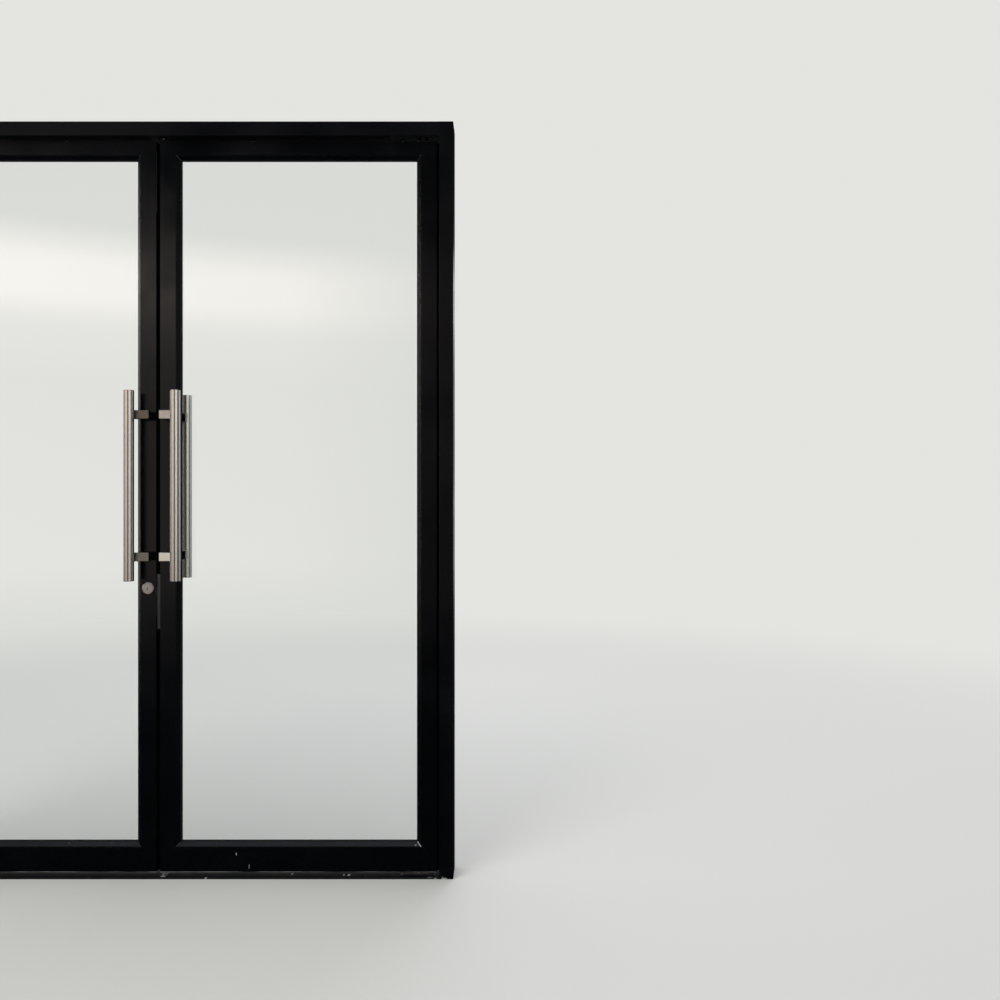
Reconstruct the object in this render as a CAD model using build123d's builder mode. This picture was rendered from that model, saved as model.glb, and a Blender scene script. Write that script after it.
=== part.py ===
from build123d import *
import os

# A pair of glazed aluminium doors in a three-sided tube frame, in millimetres.
# X runs across the doorway, Y through it towards the inside, Z up from the floor.
# The origin is on the floor, on the line where the two leaves meet, in the middle of the frame's depth.

os.makedirs("parts", exist_ok=True)

# Frame: the clear opening between the jambs, and the tube that the frame is cut from
clear_width = 1800.0
clear_height = 2355.0
frame_face = 45.0
frame_depth = 100.0
frame_wall = 3.0
frame_corner = 1.0
fixing_hole = 9.0
jamb_fixing_inset = 225.0
jamb_fixing_count = 4
head_fixing_reach = 300.0

# Leaves: gaps round them, and the tubes that their stiles and rails are cut from
leaf_thickness = 44.0
hinge_gap = 9.0
meeting_gap = 12.0
head_gap = 8.0
floor_gap = 11.0
stile_face = 50.0
top_rail_face = 42.0
bottom_rail_face = 81.0
leaf_wall = 2.5
leaf_corner = 0.9

# Glazing: pane, sloped snap-on beads and the rubber strips between them
glass_thickness = 10.0
glass_edge_gap = 5.0
bead_width = 12.0
bead_step = 1.0
bead_nose = 1.5
bead_tip = 1.5
bead_wall = 1.4
gasket_thickness = 3.0
gasket_lip = 3.0
gasket_start = 6.5
rib_thickness = 1.6
rib_reach = 3.4
rib_barb = 1.0
rib_clearance = 0.3
setting_block_length = 100.0
setting_block_overhang = 1.5

# Pivots: how far the turning axis stands in from the rails' ends, the closer above, the pin below
pivot_setback = 11.0
spindle_diameter = 16.0
spindle_hole_clearance = 4.0
spindle_square = 11.0
spindle_engagement = 20.0
running_clearance = 0.05
closer_length = 270.0
closer_width = 56.0
closer_height = 34.0
closer_bearing = 28.0
closer_end_gap = 26.0
closer_screw_insets = (44.0, 119.0)
closer_thread = 12.0
spring_tube_inset = 1.0
spring_tube_length = 60.0
arm_length = 110.0
arm_width = 30.0
pivot_plate_length = 104.0
pivot_plate_width = 34.0
pivot_plate_thickness = 5.0
pivot_plate_hole = 6.5
pivot_plate_hole_spacing = 76.0
pivot_pin_diameter = 14.0
pivot_ring_diameter = 20.0
pivot_ring_height = 2.0
pivot_ring_gap = 0.1
bearing_length = 90.0
bearing_bore_height = 34.0
end_relief = 1.0

# Corner joints: blocks in the rails' ends, angle cleats in the head's ends, and pan-head screws
block_length = 40.0
block_wall = 5.0
slide_in_clearance = 0.2
cleat_leg = 24.0
cleat_thickness = 4.0
cleat_width = 90.0
screw_diameter = 6.0
screw_head_diameter = 11.0
screw_head_height = 3.5
screw_pitch = 18.0
small_screw_diameter = 4.0
small_screw_head = 6.6
small_screw_reach = 2.0
screw_pocket_length = 20.0
screw_pocket_height = 13.0

# Pull handles: a tube on two offset brackets, outside and inside
pull_diameter = 32.0
pull_wall = 2.0
pull_length = 600.0
pull_centres = 450.0
pull_height = 1246.0
pull_standoff = 52.0
outside_pull_reach = 67.0
inside_pull_reach = 54.0
cap_thickness = 2.0
bracket_height = 28.0
bracket_thickness = 15.0
bracket_start = 10.0
bracket_overrun = 8.0
bracket_saddle = 2.0
bracket_edge = 1.5
post_diameter = 20.0
stud_diameter = 10.0
stud_grip = 16.0

# Lock in the left leaf's meeting stile
lock_below_pull_stud = 102.0
lock_backset = 24.5
cylinder_diameter = 29.0
cylinder_stand = 8.0
cylinder_start = 1.0
collar_diameter = 38.0
collar_height = 6.5
plug_diameter = 13.0
plug_start = 4.0
plug_stand = 0.5
keyway_width = 2.2
keyway_height = 8.6
keyway_drop = 1.3
keyway_depth = 21.0
front_plate_width = 25.0
front_plate_height = 177.0
front_plate_drop = 45.0
front_plate_clearance = 0.1
case_back_wall = 1.5
case_width = 18.0
case_height = 154.0
case_flange = 2.5
case_flange_margin = 0.5
bolt_width = 12.0
bolt_height = 24.0
bolt_length = 34.0
bolt_clearance = 0.1
bolt_setback = 0.5
strike_width = 22.0
strike_height = 90.0
strike_thickness = 1.5
strike_clearance = 2.5
strike_screw_inset = 9.0
front_screw_inset = 8.0
turn_length = 30.0
turn_width = 9.0
turn_depth = 18.0

# Edge bolts in the right leaf's meeting stile
rod_diameter = 10.0
rod_inset = 13.5
rod_length = 190.0
rod_setback = 2.0
top_throw = 18.0
bottom_throw = 12.0
edge_plate_width = 20.0
edge_plate_length = 200.0
edge_plate_thickness = 1.5
edge_screw_inset = 9.0
edge_plate_setback = 20.0
thumb_width = 7.6
thumb_length = 14.0
thumb_stand = 3.5
thumb_clearance = 0.4
slot_end_clearance = 1.2
guide_length = 22.0
guide_depth = 24.0
keep_width = 18.0
keep_length = 70.0
keep_thickness = 3.0
head_keep_thickness = 1.5
keep_side_clearance = 1.5
keep_end_clearance = 3.0
keep_screw_spacing = 52.0
floor_screw_hole = 4.5

# Worked out from the sizes above
leaf_width = (clear_width - meeting_gap) / 2 - hinge_gap
leaf_height = clear_height - head_gap - floor_gap
leaf_top = floor_gap + leaf_height
leaf_face = leaf_thickness / 2
meeting_edge = meeting_gap / 2
hinge_edge = meeting_edge + leaf_width
meeting_stile_x = meeting_edge + stile_face / 2
hinge_stile_x = hinge_edge - stile_face / 2
rail_start = meeting_edge + stile_face
rail_end = hinge_edge - stile_face
glazing_width = rail_end - rail_start
glazing_bottom = floor_gap + bottom_rail_face
glazing_top = leaf_top - top_rail_face
glazing_height = glazing_top - glazing_bottom
glazing_centre = (rail_start + glazing_width / 2, 0, glazing_bottom + glazing_height / 2)
top_rail_z = leaf_top - top_rail_face / 2
bottom_rail_z = floor_gap + bottom_rail_face / 2
jamb_x = clear_width / 2 + frame_face / 2
frame_height = clear_height + frame_face
pivot_x = rail_end - pivot_setback
glass_face = glass_thickness / 2
bead_back = glass_face + gasket_thickness
bead_front = leaf_face - bead_step
rod_x = meeting_edge + rod_inset
keep_slot_width = rod_diameter + 2 * keep_side_clearance
keep_slot_length = rod_diameter + 2 * keep_end_clearance
pull_stud_heights = [pull_height + side * pull_centres / 2 for side in (-1, 1)]
lock_height = pull_stud_heights[0] - lock_below_pull_stud
front_plate_z = lock_height - front_plate_drop
front_screw_reach = front_plate_height / 2 - front_screw_inset
strike_screw_reach = strike_height / 2 - strike_screw_inset
edge_screw_reach = edge_plate_length / 2 - edge_screw_inset
top_thumb_z = leaf_top - edge_plate_setback - edge_plate_length / 2
bottom_thumb_z = floor_gap + edge_plate_setback + edge_plate_length / 2
front_screw_heights = [front_plate_z + side * front_screw_reach for side in (-1, 1)]
strike_screw_heights = [front_plate_z + side * strike_screw_reach for side in (-1, 1)]
edge_screw_heights = [z + side * edge_screw_reach for z in (bottom_thumb_z, top_thumb_z)
                      for side in (-1, 1)]
keep_screw_ys = [side * keep_screw_spacing / 2 for side in (-1, 1)]


def save(piece, name):
    """Names a finished piece and writes it."""
    piece.part.label = name
    export_step(piece.part, f"parts/{name}.step")


def save_pair(piece, name):
    """Writes a piece of the right-hand side, and its mirror image for the left-hand side."""
    save(piece, f"right_{name}")
    with BuildPart() as turned:
        add(piece.part)
        mirror(about=Plane.YZ, mode=Mode.REPLACE)
    save(turned, f"left_{name}")


def along_x(x, y, z, towards=1):
    """A place whose own Z axis points along X, or against it."""
    return Location((x, y, z), (0, 90 * towards, 0))


def along_y(x, y, z, towards=1):
    """A place whose own Z axis points along Y, or against it."""
    return Location((x, y, z), (-90 * towards, 0, 0))


def pan_screw(length):
    """A pan-head screw seated at the origin, with its head up and its shank down."""
    with BuildPart(mode=Mode.PRIVATE) as screw:
        Cylinder(screw_diameter / 2 - running_clearance, length,
                 align=(Align.CENTER, Align.CENTER, Align.MAX))
        Cylinder(screw_head_diameter / 2, screw_head_height,
                 align=(Align.CENTER, Align.CENTER, Align.MIN))
        fillet(screw.faces().sort_by(Axis.Z)[-1].edges(), screw_head_height * 0.4)
    return screw.part


def flat_screw(length):
    """A countersunk screw with its flat head flush at the origin, and its shank down."""
    head = small_screw_head / 2 - running_clearance
    shank = small_screw_diameter / 2 - running_clearance
    with BuildPart(mode=Mode.PRIVATE) as screw:
        with BuildSketch(Plane.XZ):
            with BuildLine():
                Polyline((0, 0), (head, 0), (shank, shank - head), (shank, -length), (0, -length),
                         close=True)
            make_face()
        revolve(axis=Axis.Z)
    return screw.part


def flat_screw_holes(places, depth):
    """Countersunk holes cut into the piece being built, one at each place."""
    with Locations(*places):
        CounterSinkHole(small_screw_diameter / 2, small_screw_head / 2, depth, 90)


def glazing_strip(section, side, cut_back=None):
    """The outside and inside strips of one section along one side of the glass.

    The section's x is the depth from the leaf's middle, and its y the distance in from the tube.
    The ends are mitred at 45 degrees, or square and cut back by the given length.
    """
    turn = {"bottom": 0, "meeting": 90, "top": 180, "hinge": 270}[side]
    upright = side in ("meeting", "hinge")
    along = glazing_height if upright else glazing_width
    away = glazing_width if upright else glazing_height
    half_run = along / 2 - (cut_back or 0)
    mitre = bead_width + gasket_lip
    with BuildPart(mode=Mode.PRIVATE) as strip:
        with BuildSketch(Plane.YZ):
            with Locations((0, -away / 2)):
                add(section)
            mirror(about=Plane.YZ)
        extrude(amount=half_run, both=True)
        if cut_back is None:
            with BuildSketch(Plane.XZ):
                with BuildLine():
                    Polyline((-along / 2, -away / 2), (along / 2, -away / 2),
                             (along / 2 - mitre, mitre - away / 2),
                             (mitre - along / 2, mitre - away / 2), close=True)
                make_face()
            extrude(amount=leaf_thickness, both=True, mode=Mode.INTERSECT)
    return strip.part.rotate(Axis.Y, turn).moved(Location(glazing_centre))


# Sections of the glazing: depth from the leaf's middle, then distance in from the tube
rib_middle = bead_back + bead_wall + rib_clearance + rib_thickness * 1.5
rib_outer = rib_middle + rib_thickness / 2
rib_inner = rib_middle - rib_thickness / 2
barb_start = bead_wall + rib_clearance

with BuildSketch() as rib_section:
    with BuildLine():
        Polyline((rib_inner, 0), (rib_outer, 0), (rib_outer, barb_start),
                 (rib_outer + rib_barb, barb_start), (rib_outer, rib_reach), (rib_inner, rib_reach),
                 close=True)
    make_face()

with BuildSketch() as bead_section:
    with BuildLine():
        Polyline((bead_back, 0), (bead_front, 0), (bead_front, bead_nose),
                 (bead_back + bead_tip, bead_width), (bead_back, bead_width), close=True)
    make_face()
    offset(amount=-bead_wall, mode=Mode.SUBTRACT)
    with Locations((rib_middle, bead_wall / 2)):
        Rectangle(rib_thickness + 2 * rib_clearance, bead_wall, mode=Mode.SUBTRACT)

with BuildSketch() as gasket_section:
    with BuildLine():
        Polyline((glass_face, gasket_start), (bead_back, gasket_start), (bead_back, bead_width + 0.5),
                 (glass_face, bead_width + gasket_lip), close=True)
    make_face()

# Jambs: the frame's uprights, with the holes for the fixing screws and for the head's cleats
head_inner_bottom = clear_height + frame_wall
head_inner_top = frame_height - frame_wall
cleat_screw_y = cleat_width / 2 - screw_pitch
jamb_screw_z = (head_inner_bottom + head_inner_top) / 2 - cleat_thickness
head_screw_x = clear_width / 2 - (cleat_leg + cleat_thickness) / 2
shank_hole = screw_diameter / 2

jamb_fixing_pitch = (frame_height - 2 * jamb_fixing_inset) / (jamb_fixing_count - 1)
jamb_fixing_heights = [jamb_fixing_inset + step * jamb_fixing_pitch for step in range(jamb_fixing_count)]

with BuildPart() as jamb:
    with BuildSketch(Plane.XY):
        with Locations((jamb_x, 0)):
            RectangleRounded(frame_face, frame_depth, frame_corner)
            Rectangle(frame_face - 2 * frame_wall, frame_depth - 2 * frame_wall, mode=Mode.SUBTRACT)
    extrude(amount=frame_height)
    with Locations(*[along_x(jamb_x, 0, z) for z in jamb_fixing_heights]):
        Cylinder(fixing_hole / 2, 2 * frame_face, mode=Mode.SUBTRACT)
    with Locations(*[along_x(clear_width / 2, y, jamb_screw_z) for y in (-cleat_screw_y, cleat_screw_y)]):
        Cylinder(shank_hole, 3 * frame_wall, mode=Mode.SUBTRACT)
save_pair(jamb, "jamb")

# Head: the tube between the jambs, open below at the closers' spindles and at the top edge bolt
closer_screw_xs = [side * (clear_width / 2 - inset) for side in (-1, 1) for inset in closer_screw_insets]

with BuildPart() as head:
    with BuildSketch(Plane.YZ):
        with Locations((0, clear_height + frame_face / 2)):
            RectangleRounded(frame_depth, frame_face, frame_corner)
            Rectangle(frame_depth - 2 * frame_wall, frame_face - 2 * frame_wall, mode=Mode.SUBTRACT)
    extrude(amount=clear_width / 2, both=True)
    with Locations(*[(x, 0, clear_height) for x in (-pivot_x, pivot_x)]):
        Cylinder(spindle_diameter / 2 + spindle_hole_clearance, 3 * frame_wall, mode=Mode.SUBTRACT)
    with Locations(*[(x, 0, clear_height) for x in closer_screw_xs]):
        Cylinder(shank_hole, 3 * frame_wall, mode=Mode.SUBTRACT)
    with Locations((rod_x, 0, clear_height)):
        Box(keep_slot_width, keep_slot_length, 3 * frame_wall, mode=Mode.SUBTRACT)
    with Locations(*[(x, 0, clear_height) for x in (-head_fixing_reach, head_fixing_reach)]):
        Cylinder(fixing_hole / 2, 3 * frame_face, mode=Mode.SUBTRACT)
    with Locations(*[(x, y, frame_height) for x in (-head_screw_x, head_screw_x)
                     for y in (-cleat_screw_y, cleat_screw_y)]):
        Cylinder(shank_hole, 3 * frame_wall, mode=Mode.SUBTRACT)
    with Locations(*[(rod_x, y, clear_height) for y in keep_screw_ys]):
        Cylinder(small_screw_diameter / 2, 3 * frame_wall, mode=Mode.SUBTRACT)
save(head, "head")

# Head cleats: aluminium angles inside the head's ends, one leg on the jamb and one under the top wall
with BuildPart() as head_cleats:
    with BuildSketch(Plane.XZ):
        with BuildLine():
            Polyline((clear_width / 2, head_inner_bottom + slide_in_clearance),
                     (clear_width / 2, head_inner_top),
                     (clear_width / 2 - cleat_leg, head_inner_top),
                     (clear_width / 2 - cleat_leg, head_inner_top - cleat_thickness),
                     (clear_width / 2 - cleat_thickness, head_inner_top - cleat_thickness),
                     (clear_width / 2 - cleat_thickness, head_inner_bottom + slide_in_clearance),
                     close=True)
        make_face()
    extrude(amount=cleat_width / 2, both=True)
    with Locations(*[along_x(clear_width / 2, y, jamb_screw_z) for y in (-cleat_screw_y, cleat_screw_y)]):
        Cylinder(shank_hole, 3 * cleat_thickness, mode=Mode.SUBTRACT)
    with Locations(*[(head_screw_x, y, head_inner_top) for y in (-cleat_screw_y, cleat_screw_y)]):
        Cylinder(shank_hole, 3 * cleat_thickness, mode=Mode.SUBTRACT)
    mirror(about=Plane.YZ)
save(head_cleats, "head_cleats")

# Closers: cast housings on the head's lower wall, each with a spring tube and a spindle bearing
closer_outer = clear_width / 2 - closer_end_gap
closer_inner = closer_outer - closer_length
housing_length = closer_length - spring_tube_length

with BuildPart() as closers:
    with BuildSketch(Plane.XY.offset(head_inner_bottom)):
        with Locations((closer_outer - housing_length / 2, 0)):
            RectangleRounded(housing_length, closer_width, closer_width / 4)
    extrude(amount=closer_height)
    fillet(closers.faces().sort_by(Axis.Z)[-1].edges(), closer_height / 8)
    with Locations(along_x(closer_inner, 0, head_inner_bottom + closer_height / 2)):
        Cylinder(closer_height / 2 - spring_tube_inset, closer_length / 2,
                 align=(Align.CENTER, Align.CENTER, Align.MIN))
    with Locations((pivot_x, 0, head_inner_bottom)):
        Cylinder(spindle_diameter / 2 + running_clearance, closer_bearing,
                 align=(Align.CENTER, Align.CENTER, Align.MIN), mode=Mode.SUBTRACT)
    with Locations(*[(clear_width / 2 - inset, 0, head_inner_bottom) for inset in closer_screw_insets]):
        Cylinder(shank_hole, closer_thread, align=(Align.CENTER, Align.CENTER, Align.MIN),
                 mode=Mode.SUBTRACT)
    mirror(about=Plane.YZ)
save(closers, "closers")

# Frame screws: into the cleats, up through the head's lower wall into the closers, and the keep's two
cleat_grip = cleat_thickness + frame_wall - end_relief
closer_grip = frame_wall + closer_thread - end_relief
cleat_screw = pan_screw(cleat_grip)
closer_screw = pan_screw(closer_grip)
keep_screw = flat_screw(head_keep_thickness + frame_wall + small_screw_reach)

with BuildPart() as frame_screws:
    with Locations(*[along_x(side * (clear_width / 2 - cleat_thickness), y, jamb_screw_z, -side)
                     for side in (-1, 1) for y in (-cleat_screw_y, cleat_screw_y)]):
        add(cleat_screw)
    with Locations(*[Location((x, y, head_inner_top - cleat_thickness), (180, 0, 0))
                     for x in (-head_screw_x, head_screw_x) for y in (-cleat_screw_y, cleat_screw_y)]):
        add(cleat_screw)
    with Locations(*[Location((x, 0, clear_height), (180, 0, 0)) for x in closer_screw_xs]):
        add(closer_screw)
    with Locations(*[Location((rod_x, y, clear_height - head_keep_thickness), (180, 0, 0))
                     for y in keep_screw_ys]):
        add(keep_screw)
save(frame_screws, "frame_screws")

# Pivot plates: steel plates on the floor, each with a fixed pin and a raised ring round it
ring_top = pivot_plate_thickness + pivot_ring_height
pin_top = floor_gap + leaf_wall + bearing_bore_height - end_relief

with BuildPart() as pivot_plates:
    with BuildSketch(Plane.XY):
        with Locations((pivot_x, 0)):
            SlotOverall(pivot_plate_length, pivot_plate_width)
        with Locations(*[(pivot_x + side * pivot_plate_hole_spacing / 2, 0) for side in (-1, 1)]):
            Circle(pivot_plate_hole / 2, mode=Mode.SUBTRACT)
    extrude(amount=pivot_plate_thickness)
    with BuildSketch(Plane.XY.offset(pivot_plate_thickness)):
        with Locations((pivot_x, 0)):
            Circle(pivot_ring_diameter / 2)
    extrude(amount=pivot_ring_height - pivot_ring_gap)
    with BuildSketch(Plane.XY.offset(pivot_plate_thickness)):
        with Locations((pivot_x, 0)):
            Circle(pivot_pin_diameter / 2)
    extrude(amount=pin_top - pivot_plate_thickness)
    chamfer(pivot_plates.faces().sort_by(Axis.Z)[-1].edges(), pivot_pin_diameter / 10)
    mirror(about=Plane.YZ)
save(pivot_plates, "pivot_plates")

# Keeps of the edge bolts: a plate under the head and a plate on the floor, each with the rod's slot
with BuildPart() as head_keep:
    with BuildSketch(Plane.XY.offset(clear_height - head_keep_thickness)):
        with Locations((rod_x, 0)):
            RectangleRounded(keep_width, keep_length, keep_width / 6)
            Rectangle(keep_slot_width, keep_slot_length, mode=Mode.SUBTRACT)
    extrude(amount=head_keep_thickness)
    flat_screw_holes([Location((rod_x, y, clear_height - head_keep_thickness), (180, 0, 0))
                      for y in keep_screw_ys], 2 * head_keep_thickness)
save(head_keep, "head_keep")

with BuildPart() as floor_keep:
    with BuildSketch(Plane.XY):
        with Locations((rod_x, 0)):
            RectangleRounded(keep_width, keep_length, keep_width / 6)
            Rectangle(keep_slot_width, keep_slot_length, mode=Mode.SUBTRACT)
        with Locations(*[(rod_x, y) for y in keep_screw_ys]):
            Circle(floor_screw_hole / 2, mode=Mode.SUBTRACT)
    extrude(amount=keep_thickness)
    chamfer(floor_keep.faces().sort_by(Axis.Z)[-1].outer_wire().edges(), keep_thickness / 3)
save(floor_keep, "floor_keep")

# Stiles: full-height tubes with the ribs that the beads snap on, and the corner screws' holes
top_screw_z = glazing_top + leaf_wall + screw_diameter + 2
bottom_screw_z = floor_gap + bottom_rail_face - leaf_wall - 2 * screw_diameter
corner_screw_ys = [side * screw_pitch / 2 for side in (-1, 1)]
hinge_screw_places = [(y, z) for y in corner_screw_ys for z in (bottom_screw_z, top_screw_z)]
meeting_screw_places = [(y, z) for y in corner_screw_ys for z in (bottom_rail_z, top_rail_z)]
rib_cut_back = 2 * bead_width
hinge_rib = glazing_strip(rib_section.sketch, "hinge", rib_cut_back)
meeting_rib = glazing_strip(rib_section.sketch, "meeting", rib_cut_back)
top_rib = glazing_strip(rib_section.sketch, "top", rib_cut_back)
bottom_rib = glazing_strip(rib_section.sketch, "bottom", rib_cut_back)

with BuildPart() as hinge_stile:
    with BuildSketch(Plane.XY.offset(floor_gap)):
        with Locations((hinge_stile_x, 0)):
            RectangleRounded(stile_face, leaf_thickness, leaf_corner)
            Rectangle(stile_face - 2 * leaf_wall, leaf_thickness - 2 * leaf_wall, mode=Mode.SUBTRACT)
    extrude(amount=leaf_height)
    add(hinge_rib)
    with Locations(*[along_x(rail_end, y, z) for y, z in hinge_screw_places]):
        Cylinder(shank_hole, 3 * leaf_wall, mode=Mode.SUBTRACT)
save_pair(hinge_stile, "hinge_stile")

with BuildPart() as meeting_stile:
    with BuildSketch(Plane.XY.offset(floor_gap)):
        with Locations((meeting_stile_x, 0)):
            RectangleRounded(stile_face, leaf_thickness, leaf_corner)
            Rectangle(stile_face - 2 * leaf_wall, leaf_thickness - 2 * leaf_wall, mode=Mode.SUBTRACT)
    extrude(amount=leaf_height)
    add(meeting_rib)
    with Locations(*[along_x(rail_start, y, z) for y, z in meeting_screw_places]):
        Cylinder(shank_hole, 3 * leaf_wall, mode=Mode.SUBTRACT)
    with Locations(*[along_y(meeting_stile_x, 0, z) for z in pull_stud_heights]):
        Cylinder(stud_diameter / 2 + slide_in_clearance, 2 * leaf_thickness, mode=Mode.SUBTRACT)

# Left meeting stile: cut out for the lock's front plate, its case and the two cylinders
cylinder_x = -(meeting_edge + lock_backset)

with BuildPart() as left_meeting_stile:
    add(meeting_stile.part)
    mirror(about=Plane.YZ, mode=Mode.REPLACE)
    with Locations((-meeting_edge, 0, front_plate_z)):
        Box(3 * leaf_wall, front_plate_width + 2 * front_plate_clearance,
            front_plate_height + 2 * front_plate_clearance, mode=Mode.SUBTRACT)
    with Locations(along_y(cylinder_x, 0, lock_height)):
        Cylinder(cylinder_diameter / 2 + slide_in_clearance, 2 * leaf_thickness, mode=Mode.SUBTRACT)
save(left_meeting_stile, "left_meeting_stile")

# Right meeting stile: open at the lock's strike and at the edge bolts' thumb pieces
top_slot = thumb_length + top_throw + 2 * slot_end_clearance
bottom_slot = thumb_length + bottom_throw + 2 * slot_end_clearance
top_slot_z = top_thumb_z + top_throw / 2
bottom_slot_z = bottom_thumb_z - bottom_throw / 2
slot_width = thumb_width + 2 * thumb_clearance
strike_hole_width = bolt_width + 2 * strike_clearance
strike_hole_height = bolt_height + 2 * strike_clearance

with BuildPart() as right_meeting_stile:
    add(meeting_stile.part)
    with Locations((meeting_edge, 0, front_plate_z)):
        Box(3 * leaf_wall, strike_hole_width, strike_hole_height, mode=Mode.SUBTRACT)
    with Locations((meeting_edge, 0, top_slot_z)):
        Box(3 * leaf_wall, slot_width, top_slot, mode=Mode.SUBTRACT)
    with Locations((meeting_edge, 0, bottom_slot_z)):
        Box(3 * leaf_wall, slot_width, bottom_slot, mode=Mode.SUBTRACT)
    with Locations(*[along_x(meeting_edge, 0, z) for z in strike_screw_heights + edge_screw_heights]):
        Cylinder(small_screw_diameter / 2, 3 * leaf_wall, mode=Mode.SUBTRACT)
save(right_meeting_stile, "right_meeting_stile")

# Rails: tubes between the stiles, with the beads' ribs and the pivots' holes
with BuildPart() as top_rail:
    with BuildSketch(Plane.YZ.offset(rail_start)):
        with Locations((0, top_rail_z)):
            RectangleRounded(leaf_thickness, top_rail_face, leaf_corner)
            Rectangle(leaf_thickness - 2 * leaf_wall, top_rail_face - 2 * leaf_wall, mode=Mode.SUBTRACT)
    extrude(amount=glazing_width)
    add(top_rib)
    with Locations((pivot_x, 0, leaf_top)):
        Cylinder(spindle_diameter / 2 + end_relief, 3 * leaf_wall, mode=Mode.SUBTRACT)
save_pair(top_rail, "top_rail")

with BuildPart() as bottom_rail:
    with BuildSketch(Plane.YZ.offset(rail_start)):
        with Locations((0, bottom_rail_z)):
            RectangleRounded(leaf_thickness, bottom_rail_face, leaf_corner)
            Rectangle(leaf_thickness - 2 * leaf_wall, bottom_rail_face - 2 * leaf_wall, mode=Mode.SUBTRACT)
    extrude(amount=glazing_width)
    add(bottom_rib)
    with Locations((pivot_x, 0, floor_gap)):
        Cylinder(pivot_ring_diameter / 2 + slide_in_clearance, 3 * leaf_wall, mode=Mode.SUBTRACT)
save_pair(bottom_rail, "bottom_rail")

# Beads: hollow sloped strips that snap on the ribs, mitred at the corners of the glass
with BuildPart() as rail_beads:
    add(glazing_strip(bead_section.sketch, "bottom"))
    add(glazing_strip(bead_section.sketch, "top"))
save_pair(rail_beads, "rail_beads")

with BuildPart() as stile_beads:
    add(glazing_strip(bead_section.sketch, "meeting"))
    add(glazing_strip(bead_section.sketch, "hinge"))
save_pair(stile_beads, "stile_beads")

# Gaskets: wedge-shaped rubber strips between the beads and the glass
with BuildPart() as gaskets:
    for side in ("bottom", "meeting", "top", "hinge"):
        add(glazing_strip(gasket_section.sketch, side))
save_pair(gaskets, "gaskets")

# Glass: one pane in each leaf, with ground edges, and the blocks that it stands on
with BuildPart() as glass:
    with Locations(glazing_centre):
        Box(glazing_width - 2 * glass_edge_gap, glass_thickness, glazing_height - 2 * glass_edge_gap)
    chamfer(glass.edges(), glass_thickness / 12)
save_pair(glass, "glass")

with BuildPart() as setting_blocks:
    with Locations(*[(glazing_centre[0] + side * glazing_width / 4, 0, glazing_bottom + glass_edge_gap / 2)
                     for side in (-1, 1)]):
        Box(setting_block_length, glass_thickness + 2 * setting_block_overhang, glass_edge_gap)
save_pair(setting_blocks, "setting_blocks")

# Spindle: the closer's turning shaft, square below where it drives the arm
hollow_top = leaf_top - leaf_wall

with BuildPart() as spindle:
    with BuildSketch(Plane.XY.offset(hollow_top)):
        with Locations((pivot_x, 0)):
            Circle(spindle_diameter / 2)
    extrude(amount=head_inner_bottom + closer_bearing - hollow_top - end_relief)
    chamfer(spindle.faces().sort_by(Axis.Z)[-1].edges(), spindle_diameter / 16)
    with BuildSketch(Plane.XY.offset(hollow_top)):
        with Locations((pivot_x, 0)):
            Rectangle(spindle_square, spindle_square)
    extrude(amount=-spindle_engagement)
save_pair(spindle, "spindle")

# Arm: the steel block in the top rail's end that the spindle turns, screwed to the hinge stile
pocket_x = rail_end - block_wall - screw_pocket_length / 2
arm_bottom = glazing_top + leaf_wall + slide_in_clearance
arm_pocket_top = top_screw_z + screw_pocket_height / 2

with BuildPart() as arm:
    with BuildSketch(Plane.XY.offset(hollow_top)):
        with Locations((rail_end - arm_length / 2, 0)):
            Rectangle(arm_length, arm_width)
        with Locations((pivot_x, 0)):
            Rectangle(spindle_square + 2 * running_clearance, spindle_square + 2 * running_clearance,
                      mode=Mode.SUBTRACT)
    extrude(amount=arm_bottom - hollow_top)
    fillet(arm.edges().filter_by(Axis.Z).group_by(Axis.X)[0], arm_width / 4)
    with Locations((pocket_x, 0, arm_bottom)):
        Box(screw_pocket_length, 2 * arm_width, 2 * (arm_pocket_top - arm_bottom), mode=Mode.SUBTRACT)
    with Locations(*[along_x(rail_end, y, top_screw_z) for y in corner_screw_ys]):
        Cylinder(shank_hole, 3 * block_wall, mode=Mode.SUBTRACT)
save_pair(arm, "arm")

# Bearing: the block in the bottom rail's end that turns on the floor pin, with its collar below
bearing_bottom = floor_gap + leaf_wall
bearing_top = glazing_bottom - leaf_wall - slide_in_clearance
bearing_pocket_bottom = bottom_screw_z - screw_pocket_height / 2

with BuildPart() as bearing:
    with BuildSketch(Plane.XY.offset(bearing_bottom)):
        with Locations((rail_end - bearing_length / 2, 0)):
            Rectangle(bearing_length, arm_width)
    extrude(amount=bearing_top - bearing_bottom)
    fillet(bearing.edges().filter_by(Axis.Z).group_by(Axis.X)[0], arm_width / 4)
    with BuildSketch(Plane.XY.offset(bearing_bottom)):
        with Locations((pivot_x, 0)):
            Circle(pivot_ring_diameter / 2)
    extrude(amount=ring_top - bearing_bottom)
    with BuildSketch(Plane.XY.offset(ring_top)):
        with Locations((pivot_x, 0)):
            Circle(pivot_pin_diameter / 2 + running_clearance)
    extrude(amount=bearing_bottom + bearing_bore_height - ring_top, mode=Mode.SUBTRACT)
    with Locations((pocket_x, 0, bearing_top)):
        Box(screw_pocket_length, 2 * arm_width, 2 * (bearing_top - bearing_pocket_bottom),
            mode=Mode.SUBTRACT)
    with Locations(*[along_x(rail_end, y, bottom_screw_z) for y in corner_screw_ys]):
        Cylinder(shank_hole, 3 * block_wall, mode=Mode.SUBTRACT)
save_pair(bearing, "bearing")

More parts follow.
